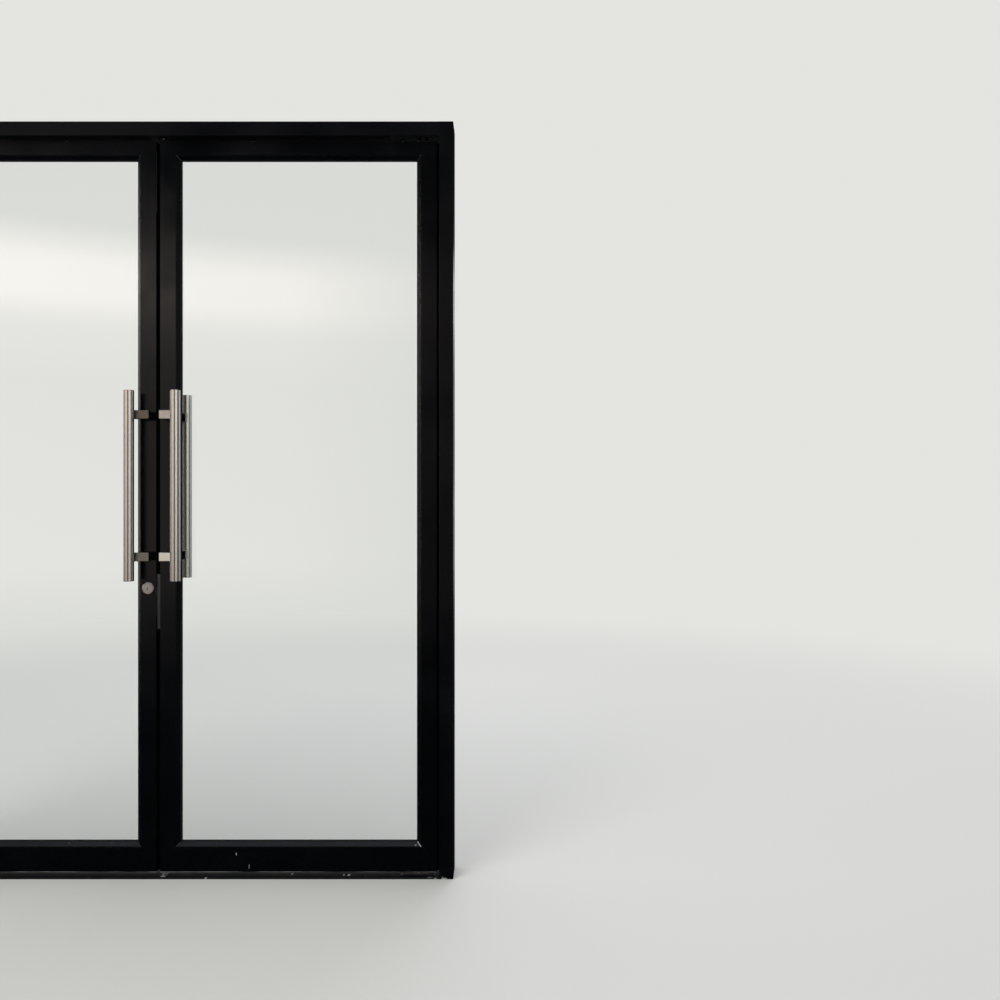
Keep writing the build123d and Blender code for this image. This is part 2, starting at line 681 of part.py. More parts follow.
# Corner blocks: cut lengths of channel in the rails' other ends, screwed to the meeting stile
block_width = leaf_thickness - 2 * leaf_wall - 2 * slide_in_clearance

with BuildPart() as corner_blocks:
    for rail_z, rail_face in ((top_rail_z, top_rail_face), (bottom_rail_z, bottom_rail_face)):
        block_height = rail_face - 2 * leaf_wall - 2 * slide_in_clearance
        with BuildSketch(Plane.XZ):
            with Locations((rail_start + block_length / 2, rail_z)):
                Rectangle(block_length, block_height)
            with Locations((rail_start + block_wall + block_length / 2, rail_z)):
                Rectangle(block_length, block_height - 2 * block_wall, mode=Mode.SUBTRACT)
        extrude(amount=block_width / 2, both=True)
    with Locations(*[along_x(rail_start, y, z) for y, z in meeting_screw_places]):
        Cylinder(shank_hole, 3 * block_wall, mode=Mode.SUBTRACT)
save_pair(corner_blocks, "corner_blocks")

# Leaf screws: from the blocks, the arm and the bearing into the stiles, and the edge fittings' own
corner_screw = pan_screw(block_wall + leaf_wall)
front_screw = flat_screw(leaf_wall + case_flange + small_screw_reach)
edge_screw = flat_screw(edge_plate_thickness + leaf_wall + small_screw_reach)
strike_screw = flat_screw(strike_thickness + leaf_wall + small_screw_reach)

with BuildPart() as corner_screws:
    with Locations(*[along_x(rail_start + block_wall, y, z) for y, z in meeting_screw_places]):
        add(corner_screw)
    with Locations(*[along_x(rail_end - block_wall, y, z, -1) for y, z in hinge_screw_places]):
        add(corner_screw)

with BuildPart() as left_screws:
    add(corner_screws.part)
    mirror(about=Plane.YZ, mode=Mode.REPLACE)
    with Locations(*[along_x(-meeting_edge, 0, z) for z in front_screw_heights]):
        add(front_screw)
save(left_screws, "left_screws")

with BuildPart() as right_screws:
    add(corner_screws.part)
    with Locations(*[along_x(meeting_edge - strike_thickness, 0, z, -1) for z in strike_screw_heights]):
        add(strike_screw)
    with Locations(*[along_x(meeting_edge - edge_plate_thickness, 0, z, -1) for z in edge_screw_heights]):
        add(edge_screw)
save(right_screws, "right_screws")


# Pull handles: a tube closed by a pressed cap at each end
def pull_tube(reach, side):
    """The tube of one pull handle, on the outside of the leaf (-1) or on the inside (1)."""
    place = (meeting_edge + reach, side * (leaf_face + pull_standoff))
    bottom = pull_height - pull_length / 2
    bore = pull_diameter / 2 - pull_wall
    with BuildPart() as pull:
        with BuildSketch(Plane.XY.offset(bottom + cap_thickness)):
            with Locations(place):
                Circle(pull_diameter / 2)
                Circle(bore, mode=Mode.SUBTRACT)
        extrude(amount=pull_length - 2 * cap_thickness)
    with BuildPart() as cap:
        with Locations((place[0], place[1], bottom)):
            Cylinder(pull_diameter / 2, cap_thickness, align=(Align.CENTER, Align.CENTER, Align.MIN))
            Cylinder(bore - running_clearance, 4 * cap_thickness,
                     align=(Align.CENTER, Align.CENTER, Align.MIN))
        fillet(cap.faces().sort_by(Axis.Z)[0].edges(), cap_thickness / 2)
    with BuildPart() as capped:
        add(pull.part)
        add(cap.part)
        add(mirror(cap.part, about=Plane.XY.offset(pull_height)))
    return capped


save_pair(pull_tube(outside_pull_reach, -1), "outside_pull")
save_pair(pull_tube(inside_pull_reach, 1), "inside_pull")


# Brackets: a post on the stile and a flat bar behind the tube, which the tube is let into
def pull_brackets(reach, side):
    """The two brackets of one pull handle, on the outside of the leaf (-1) or on the inside (1)."""
    pull_y = leaf_face + pull_standoff
    bar_face = pull_y - pull_diameter / 2 + bracket_saddle
    bar_start = meeting_edge + bracket_start
    bar_end = meeting_edge + reach + bracket_overrun
    with BuildPart() as bracket:
        for height in pull_stud_heights:
            with Locations(((bar_start + bar_end) / 2, side * (bar_face - bracket_thickness / 2), height)):
                Box(bar_end - bar_start, bracket_thickness, bracket_height)
        fillet(bracket.edges().filter_by(Axis.X) + bracket.edges().filter_by(Axis.Z), bracket_edge)
        with Locations(*[along_y(meeting_stile_x, side * leaf_face, z, side) for z in pull_stud_heights]):
            Cylinder(post_diameter / 2, bar_face - leaf_face - bracket_thickness / 2,
                     align=(Align.CENTER, Align.CENTER, Align.MIN))
            Cylinder(stud_diameter / 2, stud_grip, align=(Align.CENTER, Align.CENTER, Align.MIN),
                     mode=Mode.SUBTRACT)
        with Locations((meeting_edge + reach, side * pull_y, pull_height)):
            Cylinder(pull_diameter / 2, pull_length, mode=Mode.SUBTRACT)
    return bracket


save_pair(pull_brackets(outside_pull_reach, -1), "outside_brackets")
save_pair(pull_brackets(inside_pull_reach, 1), "inside_brackets")

# Studs: threaded through the stile from the outside brackets to the inside ones
with BuildPart() as pull_studs:
    with Locations(*[along_y(meeting_stile_x, 0, z) for z in pull_stud_heights]):
        Cylinder(stud_diameter / 2 - running_clearance, leaf_thickness + 2 * (stud_grip - end_relief))
save_pair(pull_studs, "pull_studs")

# Lock front plate: a steel strip flush in the stile's edge, with the bolt's opening
plate_back = -meeting_edge - leaf_wall
channel_width = bolt_width + 2 * bolt_clearance
channel_height = bolt_height + 2 * bolt_clearance

with BuildPart() as lock_front:
    with BuildSketch(Plane.YZ.offset(plate_back)):
        with Locations((0, front_plate_z)):
            RectangleRounded(front_plate_width, front_plate_height, leaf_wall)
            Rectangle(channel_width, channel_height, mode=Mode.SUBTRACT)
    extrude(amount=leaf_wall)
    flat_screw_holes([along_x(-meeting_edge, 0, z) for z in front_screw_heights], 2 * leaf_wall)
save(lock_front, "lock_front")

# Lock case: the housing behind the front plate, with the bolt's channel and the cylinders' hole
case_back = cylinder_x - cylinder_diameter / 2 - case_back_wall

with BuildPart() as lock_case:
    with BuildSketch(Plane.YZ.offset(case_back)):
        with Locations((0, front_plate_z)):
            RectangleRounded(case_width, case_height, case_width / 8)
    extrude(amount=plate_back - case_back)
    with BuildSketch(Plane.YZ.offset(plate_back - case_flange)):
        with Locations((0, front_plate_z)):
            RectangleRounded(front_plate_width - 2 * case_flange_margin,
                             front_plate_height - 2 * case_flange_margin, case_flange)
    extrude(amount=case_flange)
    with BuildSketch(Plane.YZ.offset(plate_back)):
        with Locations((0, front_plate_z)):
            Rectangle(channel_width, channel_height)
    extrude(amount=-bolt_length, mode=Mode.SUBTRACT)
    with Locations(along_y(cylinder_x, 0, lock_height)):
        Cylinder(cylinder_diameter / 2 + running_clearance, 2 * case_width, mode=Mode.SUBTRACT)
    with Locations(*[along_x(plate_back, 0, z) for z in front_screw_heights]):
        Cylinder(small_screw_diameter / 2, 3 * case_flange, mode=Mode.SUBTRACT)
save(lock_case, "lock_case")

# Lock bolt: a square-ended steel bar, drawn back just inside the front plate's face
bolt_tip = -meeting_edge - bolt_setback

with BuildPart() as lock_bolt:
    with Locations((bolt_tip - bolt_length / 2, 0, front_plate_z)):
        Box(bolt_length, bolt_width, bolt_height)
    chamfer(lock_bolt.faces().sort_by(Axis.X)[-1].edges(), bolt_width / 10)
save(lock_bolt, "lock_bolt")

# Lock cylinders: one from each side into the case, bored for the plug and for the thumbturn
cylinder_end = leaf_face + cylinder_stand

with BuildPart() as lock_cylinders:
    with Locations(*[along_y(cylinder_x, side * cylinder_start, lock_height, side) for side in (-1, 1)]):
        Cylinder(cylinder_diameter / 2, cylinder_end - cylinder_start,
                 align=(Align.CENTER, Align.CENTER, Align.MIN))
    with Locations(*[along_y(cylinder_x, side * plug_start, lock_height, side) for side in (-1, 1)]):
        Cylinder(plug_diameter / 2 + running_clearance, cylinder_end,
                 align=(Align.CENTER, Align.CENTER, Align.MIN), mode=Mode.SUBTRACT)
save(lock_cylinders, "lock_cylinders")

# Collars: tapered rings round the cylinders, against the stile's faces
with BuildPart() as cylinder_collars:
    with Locations(along_y(cylinder_x, -leaf_face, lock_height, -1)):
        Cylinder(collar_diameter / 2, collar_height, align=(Align.CENTER, Align.CENTER, Align.MIN))
    chamfer(cylinder_collars.faces().sort_by(Axis.Y)[0].edges(), collar_height / 4)
    with Locations(along_y(cylinder_x, -leaf_face, lock_height, -1)):
        Cylinder(cylinder_diameter / 2 + running_clearance, 3 * collar_height, mode=Mode.SUBTRACT)
    mirror(about=Plane.XZ)
save(cylinder_collars, "cylinder_collars")

# Outside plug: the part that the key turns, with its keyway
plug_face = cylinder_end + plug_stand
plug_back = plug_start + plug_stand

with BuildPart() as outside_plug:
    with Locations(along_y(cylinder_x, -plug_back, lock_height, -1)):
        Cylinder(plug_diameter / 2, plug_face - plug_back,
                 align=(Align.CENTER, Align.CENTER, Align.MIN))
    with Locations((cylinder_x, -plug_face, lock_height - keyway_drop)):
        Box(keyway_width, 2 * keyway_depth, keyway_height, mode=Mode.SUBTRACT)
save(outside_plug, "outside_plug")

# Inside turn: a shaft in the inside cylinder with a wing to hold
with BuildPart() as inside_turn:
    with Locations(along_y(cylinder_x, plug_back, lock_height)):
        Cylinder(plug_diameter / 2, plug_face - plug_back, align=(Align.CENTER, Align.CENTER, Align.MIN))
    with BuildSketch(Plane.XZ.offset(-plug_face)):
        with Locations((cylinder_x, lock_height)):
            SlotOverall(turn_length, turn_width, rotation=90)
    extrude(amount=-turn_depth)
    fillet(inside_turn.faces().sort_by(Axis.Y)[-1].edges(), turn_width / 5)
save(inside_turn, "inside_turn")

# Lock strike: a plate on the right leaf's edge, round the opening that the bolt enters
with BuildPart() as lock_strike:
    with BuildSketch(Plane.YZ.offset(meeting_edge - strike_thickness)):
        with Locations((0, front_plate_z)):
            RectangleRounded(strike_width, strike_height, strike_width / 8)
            Rectangle(strike_hole_width, strike_hole_height, mode=Mode.SUBTRACT)
    extrude(amount=strike_thickness)
    flat_screw_holes([along_x(meeting_edge - strike_thickness, 0, z, -1) for z in strike_screw_heights],
                     2 * strike_thickness)
save(lock_strike, "lock_strike")

# Edge plates: steel strips on the right leaf's edge that the thumb pieces slide in
with BuildPart() as edge_plates:
    with BuildSketch(Plane.YZ.offset(meeting_edge - edge_plate_thickness)):
        with Locations((0, top_thumb_z), (0, bottom_thumb_z)):
            RectangleRounded(edge_plate_width, edge_plate_length, edge_plate_width / 4)
        with Locations((0, top_slot_z)):
            Rectangle(slot_width, top_slot, mode=Mode.SUBTRACT)
        with Locations((0, bottom_slot_z)):
            Rectangle(slot_width, bottom_slot, mode=Mode.SUBTRACT)
    extrude(amount=edge_plate_thickness)
    flat_screw_holes([along_x(meeting_edge - edge_plate_thickness, 0, z, -1)
                      for z in edge_screw_heights], 2 * edge_plate_thickness)
save(edge_plates, "edge_plates")

# Edge bolts: round rods in the stile's hollow, each with the thumb piece that slides it
thumb_face = meeting_edge - edge_plate_thickness - thumb_stand
top_rod_start = leaf_top - rod_setback - rod_length
bottom_rod_start = floor_gap + rod_setback

with BuildPart() as top_edge_bolt:
    with Locations((rod_x, 0, top_rod_start)):
        Cylinder(rod_diameter / 2, rod_length, align=(Align.CENTER, Align.CENTER, Align.MIN))
    chamfer(top_edge_bolt.faces().sort_by(Axis.Z)[-1].edges(), rod_diameter / 10)
    with Locations(((thumb_face + rod_x) / 2, 0, top_thumb_z)):
        Box(rod_x - thumb_face, thumb_width, thumb_length)
    chamfer(top_edge_bolt.faces().sort_by(Axis.X)[0].edges(), thumb_width / 8)
save(top_edge_bolt, "top_edge_bolt")

with BuildPart() as bottom_edge_bolt:
    with Locations((rod_x, 0, bottom_rod_start)):
        Cylinder(rod_diameter / 2, rod_length, align=(Align.CENTER, Align.CENTER, Align.MIN))
    chamfer(bottom_edge_bolt.faces().sort_by(Axis.Z)[0].edges(), rod_diameter / 10)
    with Locations(((thumb_face + rod_x) / 2, 0, bottom_thumb_z)):
        Box(rod_x - thumb_face, thumb_width, thumb_length)
    chamfer(bottom_edge_bolt.faces().sort_by(Axis.X)[0].edges(), thumb_width / 8)
save(bottom_edge_bolt, "bottom_edge_bolt")

# Rod guides: nylon blocks in the stile's two ends, bored for the rods
guide_start = meeting_edge + leaf_wall + slide_in_clearance
guide_width = leaf_thickness - 2 * leaf_wall - 2 * slide_in_clearance
guide_bore = rod_diameter / 2 + running_clearance

with BuildPart() as rod_guides:
    with Locations(*[(guide_start + guide_depth / 2, 0, end + inward * (rod_setback + guide_length / 2))
                     for end, inward in ((floor_gap, 1), (leaf_top, -1))]):
        Box(guide_depth, guide_width, guide_length)
    with Locations((rod_x, 0, 0)):
        Cylinder(guide_bore, frame_height, align=(Align.CENTER, Align.CENTER, Align.MIN),
                 mode=Mode.SUBTRACT)
save(rod_guides, "rod_guides")
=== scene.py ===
import math

import bpy
import numpy as np
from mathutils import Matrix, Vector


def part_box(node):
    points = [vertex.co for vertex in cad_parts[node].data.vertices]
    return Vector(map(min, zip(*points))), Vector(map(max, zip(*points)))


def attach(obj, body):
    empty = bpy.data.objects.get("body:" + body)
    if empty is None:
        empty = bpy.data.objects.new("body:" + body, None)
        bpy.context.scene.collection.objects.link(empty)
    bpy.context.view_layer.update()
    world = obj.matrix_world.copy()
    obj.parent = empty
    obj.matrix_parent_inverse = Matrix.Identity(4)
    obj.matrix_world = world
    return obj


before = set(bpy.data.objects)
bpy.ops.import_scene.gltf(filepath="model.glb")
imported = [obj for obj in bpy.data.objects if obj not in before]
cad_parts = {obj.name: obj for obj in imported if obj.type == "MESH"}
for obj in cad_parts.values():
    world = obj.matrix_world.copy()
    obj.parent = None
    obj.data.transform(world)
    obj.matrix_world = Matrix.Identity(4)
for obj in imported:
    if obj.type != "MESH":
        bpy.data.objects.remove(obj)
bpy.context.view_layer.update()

# Jambs and head: extruded aluminium tube, sawn square, powder coated black and screwed in place.
# The coat is sprayed on dry and baked to a near-black, semi-gloss skin with a fine orange peel,
# duller where it is handled, a little dusty near the floor, and chipped at the right jamb's foot.
COAT_PEEL = 0.0024
COAT_PEEL_DEPTH = 0.00006
COAT_SMEAR = 0.16
DUST = "#77716a"
DUST_HEIGHT = 0.2
DUST_FLECK = 0.006
BARE_METAL = "#a9aaa8"
JAMB_CHIPS = [((0.916, -0.05, 0.002), (0.0095, 0.003, 0.0024), 0.8),
              ((0.911, -0.05, 0.007), (0.0012, 0.002, 0.002), 0.6)]


def linear(hex_colour):
    """The linear colour of an sRGB hex value: each channel is undone by the sRGB curve."""
    channels = [int(hex_colour[i:i + 2], 16) / 255 for i in (1, 3, 5)]
    return [c / 12.92 if c <= 0.04045 else ((c + 0.055) / 1.055) ** 2.4 for c in channels] + [1.0]


def set_inputs(node, inputs):
    """Each input, by name or number, takes a value, a node's output, or a node's first output."""
    for name, value in (inputs.items() if isinstance(inputs, dict) else enumerate(inputs)):
        if isinstance(value, bpy.types.Node):
            value = value.outputs[0]
        if isinstance(value, bpy.types.NodeSocket):
            node.id_data.links.new(value, node.inputs[name])
        else:
            node.inputs[name].default_value = value


def add_node(owner, kind, inputs=(), stops=None, **settings):
    """Adds a node with its settings, its inputs, and for a ramp its (position, hex colour) stops.

    A colour mix takes its share at input 0 and its colours at 6 and 7, and gives its output 2.
    """
    node = owner.node_tree.nodes.new(kind)
    for name, value in settings.items():
        setattr(node, name, value)
    set_inputs(node, inputs)
    if stops:
        points = node.color_ramp.elements
        for point, (position, colour) in zip(points, (stops[0], stops[-1])):
            point.position, point.color = position, linear(colour)
        for position, colour in stops[1:-1]:
            points.new(position).color = linear(colour)
    return node


def new_finish(name, **constants):
    """A material with one shader, whose constants are set on the shader's own inputs."""
    finish = bpy.data.materials.new(name)
    finish.use_nodes = True
    shader = finish.node_tree.nodes["Principled BSDF"]
    set_inputs(shader, {key.replace("_", " "): value for key, value in constants.items()})
    return finish, shader


def dress(finish, *names):
    """Gives CAD nodes a finish in place of their plain one."""
    for name in names:
        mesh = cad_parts[name].data
        mesh.materials.clear()
        mesh.materials.append(finish)


def powder_coat(name, dark, light, roughness, bare):
    """A baked powder coat: two near-blacks in broad smears, orange peel, and dust near the floor.

    Where the mask that bare(finish, place) gives is 1, the coat is gone and the metal shows.
    """
    finish, shader = new_finish(name, IOR=1.47, Specular_IOR_Level=0.27)
    place = add_node(finish, "ShaderNodeTexCoord").outputs["Object"]
    smear = add_node(finish, "ShaderNodeTexNoise",
                     {"Vector": place, "Scale": 1 / COAT_SMEAR, "Detail": 5.0})
    colour = add_node(finish, "ShaderNodeValToRGB", {"Fac": smear}, stops=[(0.35, dark), (0.68, light)])
    height = add_node(finish, "ShaderNodeSeparateXYZ", {"Vector": place}).outputs["Z"]
    low = add_node(finish, "ShaderNodeMapRange",
                   {"Value": height, "From Min": DUST_HEIGHT, "From Max": 0.0})
    fleck = add_node(finish, "ShaderNodeTexNoise",
                     {"Vector": place, "Scale": 1 / DUST_FLECK, "Detail": 6.0, "Roughness": 0.7})
    settled = add_node(finish, "ShaderNodeMapRange",
                       {"Value": fleck, "From Min": 0.55, "From Max": 0.8, "To Max": 0.07})
    dust = add_node(finish, "ShaderNodeMath", [low, settled], operation="MULTIPLY")
    dusty = add_node(finish, "ShaderNodeMix", {0: dust, 6: colour, 7: linear(DUST)}, data_type="RGBA")
    chips = add_node(finish, "ShaderNodeMix",
                     {0: bare(finish, place), 6: dusty.outputs[2], 7: linear(BARE_METAL)},
                     data_type="RGBA")
    worn = add_node(finish, "ShaderNodeMapRange",
                    {"Value": smear, "From Min": 0.3, "From Max": 0.7,
                     "To Min": roughness - 0.05, "To Max": roughness + 0.07})
    peel = add_node(finish, "ShaderNodeTexNoise",
                    {"Vector": place, "Scale": 1 / COAT_PEEL, "Detail": 1.0})
    bump = add_node(finish, "ShaderNodeBump",
                    {"Height": peel, "Strength": 0.25, "Distance": COAT_PEEL_DEPTH})
    set_inputs(shader, {"Base Color": chips.outputs[2], "Roughness": worn, "Normal": bump})
    return finish


def chipped(marks):
    """A mask of chips, each an ellipsoid cut by the surface: its centre, half sizes and bareness."""
    def bare(finish, place):
        mask = 0.0
        for centre, halves, bareness in marks:
            away = add_node(finish, "ShaderNodeVectorMath", [place, centre], operation="SUBTRACT")
            scaled = add_node(finish, "ShaderNodeVectorMath", [away, halves], operation="DIVIDE")
            reach = add_node(finish, "ShaderNodeVectorMath", [scaled], operation="LENGTH")
            inside = add_node(finish, "ShaderNodeMath", [reach.outputs["Value"], 1.0],
                              operation="LESS_THAN")
            chip = add_node(finish, "ShaderNodeMath", [inside, bareness], operation="MULTIPLY")
            mask = add_node(finish, "ShaderNodeMath", [mask, chip], operation="MAXIMUM")
        return mask
    return bare


frame_coat = powder_coat("black_powder_coated_frame_aluminium", "#030508", "#06080c", 0.21,
                         chipped(JAMB_CHIPS))
dress(frame_coat, "left_jamb", "right_jamb", "head")

# Caps over the fixing holes: moulded black nylon buttons pressed into the 9 mm holes that the fixing
# screws went in by, on the jambs' inner faces and under the head. Their faces are slightly crowned,
# with the spark texture of their mould, drawn coarser than life so that it shows.
CAP_RADIUS = 0.0066
CAP_RISE = 0.0014
CAP_SHOULDER = 0.88
CAP_EDGE_RISE = 0.55
JAMB_FIXINGS = (0.225, 2.175, 4)
HEAD_FIXING_X = 0.3
NYLON_SPARK = 0.0009
NYLON_SPARK_DEPTH = 0.00004
SHARP_ANGLE = math.radians(35)
ROUND = np.linspace(0, 2 * np.pi, 40, endpoint=False)


def moulded_nylon(name, colour, roughness):
    """Moulded nylon: one colour right through, with the fine spark texture of its mould."""
    finish, shader = new_finish(name, IOR=1.53)
    place = add_node(finish, "ShaderNodeTexCoord").outputs["Object"]
    spark = add_node(finish, "ShaderNodeTexNoise",
                     {"Vector": place, "Scale": 1 / NYLON_SPARK, "Detail": 2.0})
    worn = add_node(finish, "ShaderNodeMapRange",
                    {"Value": spark, "To Min": roughness - 0.08, "To Max": roughness + 0.08})
    tone = add_node(finish, "ShaderNodeValToRGB", {"Fac": spark},
                    stops=[(0.3, colour), (0.9, "#2a2a2a")])
    bump = add_node(finish, "ShaderNodeBump",
                    {"Height": spark, "Strength": 0.3, "Distance": NYLON_SPARK_DEPTH})
    set_inputs(shader, {"Base Color": tone, "Roughness": worn, "Normal": bump})
    return finish


def facing(points, at, towards):
    """Turns points drawn about Z so that Z points the given way, square to Y, and moves them."""
    up = np.array(towards, float)
    across = np.cross(up, [0.0, 1.0, 0.0])
    return np.asarray(points) @ np.array([across, np.cross(up, across), up]) + np.array(at)


def turned_rings(profile, swell=None):
    """Rings of a turned form: each (radius, height) of the profile goes once round the Z axis.

    The swell is added to every height, as a function of the ring's radius and the angle.
    """
    radius, height = np.array(profile).T[:, :, None]
    high = height + (0 if swell is None else swell(radius, ROUND[None, :], height))
    return np.stack([radius * np.cos(ROUND), radius * np.sin(ROUND), high + 0 * ROUND], axis=-1)


def closed_shells(name, copies, finish, body, ring_shaped=False):
    """One object of several closed shells, each a stack of rings that quads join from ring to ring.

    A shell's two ends close in fans, or on a ring-shaped one the last ring joins the first.
    """
    points, faces, start = [], [], 0
    for rings in copies:
        count, around, _ = rings.shape
        step = np.arange(around)
        rows = count if ring_shaped else count - 1
        low = (np.arange(rows)[:, None] * around + step) + start
        high = ((np.arange(rows)[:, None] + 1) % count * around + step) + start
        quads = np.stack([low, np.roll(low, -1, 1), np.roll(high, -1, 1), high], -1).reshape(-1, 4)
        faces += quads.tolist()
        points.append(rings.reshape(-1, 3))
        if not ring_shaped:
            first, last = quads[:around, 0], quads[-around:, 3]
            ends = start + count * around
            faces += [[b, a, ends] for a, b in zip(first.tolist(), np.roll(first, -1).tolist())]
            faces += [[a, b, ends + 1] for a, b in zip(last.tolist(), np.roll(last, -1).tolist())]
            points.append(rings[[0, -1]].mean(axis=1))
        start = sum(len(block) for block in points)
    mesh = bpy.data.meshes.new(name)
    mesh.from_pydata(np.vstack(points).tolist(), [], faces)
    mesh.shade_smooth()
    mesh.set_sharp_from_angle(angle=SHARP_ANGLE)
    mesh.materials.append(finish)
    piece = bpy.data.objects.new(name, mesh)
    bpy.context.scene.collection.objects.link(piece)
    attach(piece, body)


black_nylon = moulded_nylon("moulded_black_nylon", "#121212", 0.48)
# A cap's edge is a quarter of an ellipse, and its face falls off with the square of the radius.
cap_edge = [(CAP_RADIUS * (1 - (1 - CAP_SHOULDER) * (1 - np.cos(lean))),
             CAP_RISE * CAP_EDGE_RISE * np.sin(lean)) for lean in np.linspace(0, np.pi / 2, 7)[1:]]
cap_face = [(CAP_RADIUS * share, CAP_RISE * (1 - (1 - CAP_EDGE_RISE) * (share / CAP_SHOULDER) ** 2))
            for share in (0.7, 0.45, 0.2)]
cap = turned_rings([(CAP_RADIUS, 0.0)] + cap_edge + cap_face)
jamb_low, jamb_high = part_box("right_jamb")
head_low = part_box("head")[0]
clear_half = jamb_low.x
fixing_caps = [facing(cap, (side * clear_half, 0, z), (-side, 0, 0))
               for side in (-1, 1) for z in np.linspace(*JAMB_FIXINGS)]
fixing_caps += [facing(cap, (x, 0, head_low.z), (0, 0, -1)) for x in (-HEAD_FIXING_X, HEAD_FIXING_X)]
closed_shells("fixing_hole_caps", fixing_caps, black_nylon, "frame")

# Head cleats: angles cut from mill-finish aluminium extrusion, left bare inside the head. The die
# leaves fine straight lines along the metal, and it dulls to a soft grey. Here and on the other
# bare metals the lines are drawn coarser than life, so that they show.
DIE_LINE = 0.0006
LINE_STRETCH = 40
DEEP_LINES = 0.00002
METAL_CLOUD = 0.035
POLISH_SPREAD = 0.08


def drawn_metal(name, dark, light, roughness, line, along, depth):
    """Bare metal with fine lines one way: noise squeezed across them and stretched along them."""
    finish, shader = new_finish(name, Metallic=1.0)
    place = add_node(finish, "ShaderNodeTexCoord").outputs["Object"]
    squeeze = [1 / (line * LINE_STRETCH) if axis == along else 1 / line for axis in "XYZ"]
    lines = add_node(finish, "ShaderNodeMapping", {"Vector": place, "Scale": squeeze})
    grain = add_node(finish, "ShaderNodeTexNoise", {"Vector": lines, "Scale": 1.0, "Detail": 3.0})
    cloud = add_node(finish, "ShaderNodeTexNoise",
                     {"Vector": place, "Scale": 1 / METAL_CLOUD, "Detail": 4.0})
    mixed = add_node(finish, "ShaderNodeMath", [grain, cloud], operation="ADD")
    tone = add_node(finish, "ShaderNodeValToRGB", {"Fac": mixed}, stops=[(0.4, dark), (1.0, light)])
    polish = add_node(finish, "ShaderNodeMapRange",
                      {"Value": mixed, "From Min": 0.6, "From Max": 1.4,
                       "To Min": roughness - POLISH_SPREAD, "To Max": roughness + POLISH_SPREAD})
    bump = add_node(finish, "ShaderNodeBump", {"Height": grain, "Strength": 0.35, "Distance": depth})
    set_inputs(shader, {"Base Color": tone, "Roughness": polish, "Normal": bump})
    return finish


mill_aluminium = drawn_metal("mill_finish_aluminium", "#a9abad", "#c9cbcc", 0.42,
                             DIE_LINE, "Y", DEEP_LINES)
dress(mill_aluminium, "head_cleats")

# Frame screws: pan heads of zinc-plated steel inside the head and under it at the closers.
# Bright zinc is a pale bluish silver, slightly cloudy where the plating bath left it.
ZINC_LINE = 0.0012
FINE_LINES = 0.00001
zinc_steel = drawn_metal("zinc_plated_steel", "#9fa4a9", "#c4c8cb", 0.34, ZINC_LINE, "X", FINE_LINES)
dress(zinc_steel, "frame_screws")

# Closers: sand-cast aluminium housings painted grey, screwed up inside the head.
# The paint lies over the sand texture of the casting, drawn coarse enough to show, so it looks
# dull and pebbled.
CAST_SAND = 0.0013
CAST_SAND_DEPTH = 0.0002


def painted_casting(name, dark, light):
    """Paint over a sand casting: two greys in patches, and the pebbled relief of the sand."""
    finish, shader = new_finish(name, IOR=1.5, Roughness=0.55)
    place = add_node(finish, "ShaderNodeTexCoord").outputs["Object"]
    sand = add_node(finish, "ShaderNodeTexNoise",
                    {"Vector": place, "Scale": 1 / CAST_SAND, "Detail": 3.0})
    tone = add_node(finish, "ShaderNodeValToRGB", {"Fac": sand}, stops=[(0.3, dark), (0.7, light)])
    bump = add_node(finish, "ShaderNodeBump",
                    {"Height": sand, "Strength": 0.6, "Distance": CAST_SAND_DEPTH})
    set_inputs(shader, {"Base Color": tone, "Normal": bump})
    return finish


dress(painted_casting("grey_painted_casting", "#55585a", "#6d7072"), "closers")

# Pivot plates and floor keep: stainless plate let down on the floor and screwed to it. The turned
# pins are greased steel. The screws are pan heads with a cross recess, one at each end of a plate.
PLATE_GRAIN = 0.0005
PIN_X = 0.83
PLATE_TOP = 0.005
PLATE_SCREW_X = 0.038
KEEP_SCREW_Y = 0.026
KEEP_SCREW_SHARE = 0.62
HEAD_RADIUS = 0.0054
HEAD_RISE = 0.0026
HEAD_PROFILE = [(1.0, 0.0), (1.0, 0.35), (0.97, 0.55), (0.9, 0.74), (0.78, 0.9)]
HEAD_PROFILE += [(share, 1.0) for share in (0.64, 0.58, 0.56, 0.5, 0.42, 0.34, 0.26, 0.18, 0.1, 0.03)]
CROSS_WIDTH = 0.0016
CROSS_REACH = 0.0031
CROSS_DEPTH = 0.0017
CROSS_SLOPE = 0.6


def cross_recess(radius, angle, height):
    """Sinks a cross into a head: deep where a point is within reach and near either arm's line."""
    x, y = radius * np.cos(angle), radius * np.sin(angle)
    arm = np.minimum(np.abs(x), np.abs(y))
    inside = (arm < CROSS_WIDTH / 2) & (radius < CROSS_REACH) & (height > 0)
    return np.where(inside, -CROSS_DEPTH * (1 - radius / CROSS_REACH * CROSS_SLOPE), 0.0)


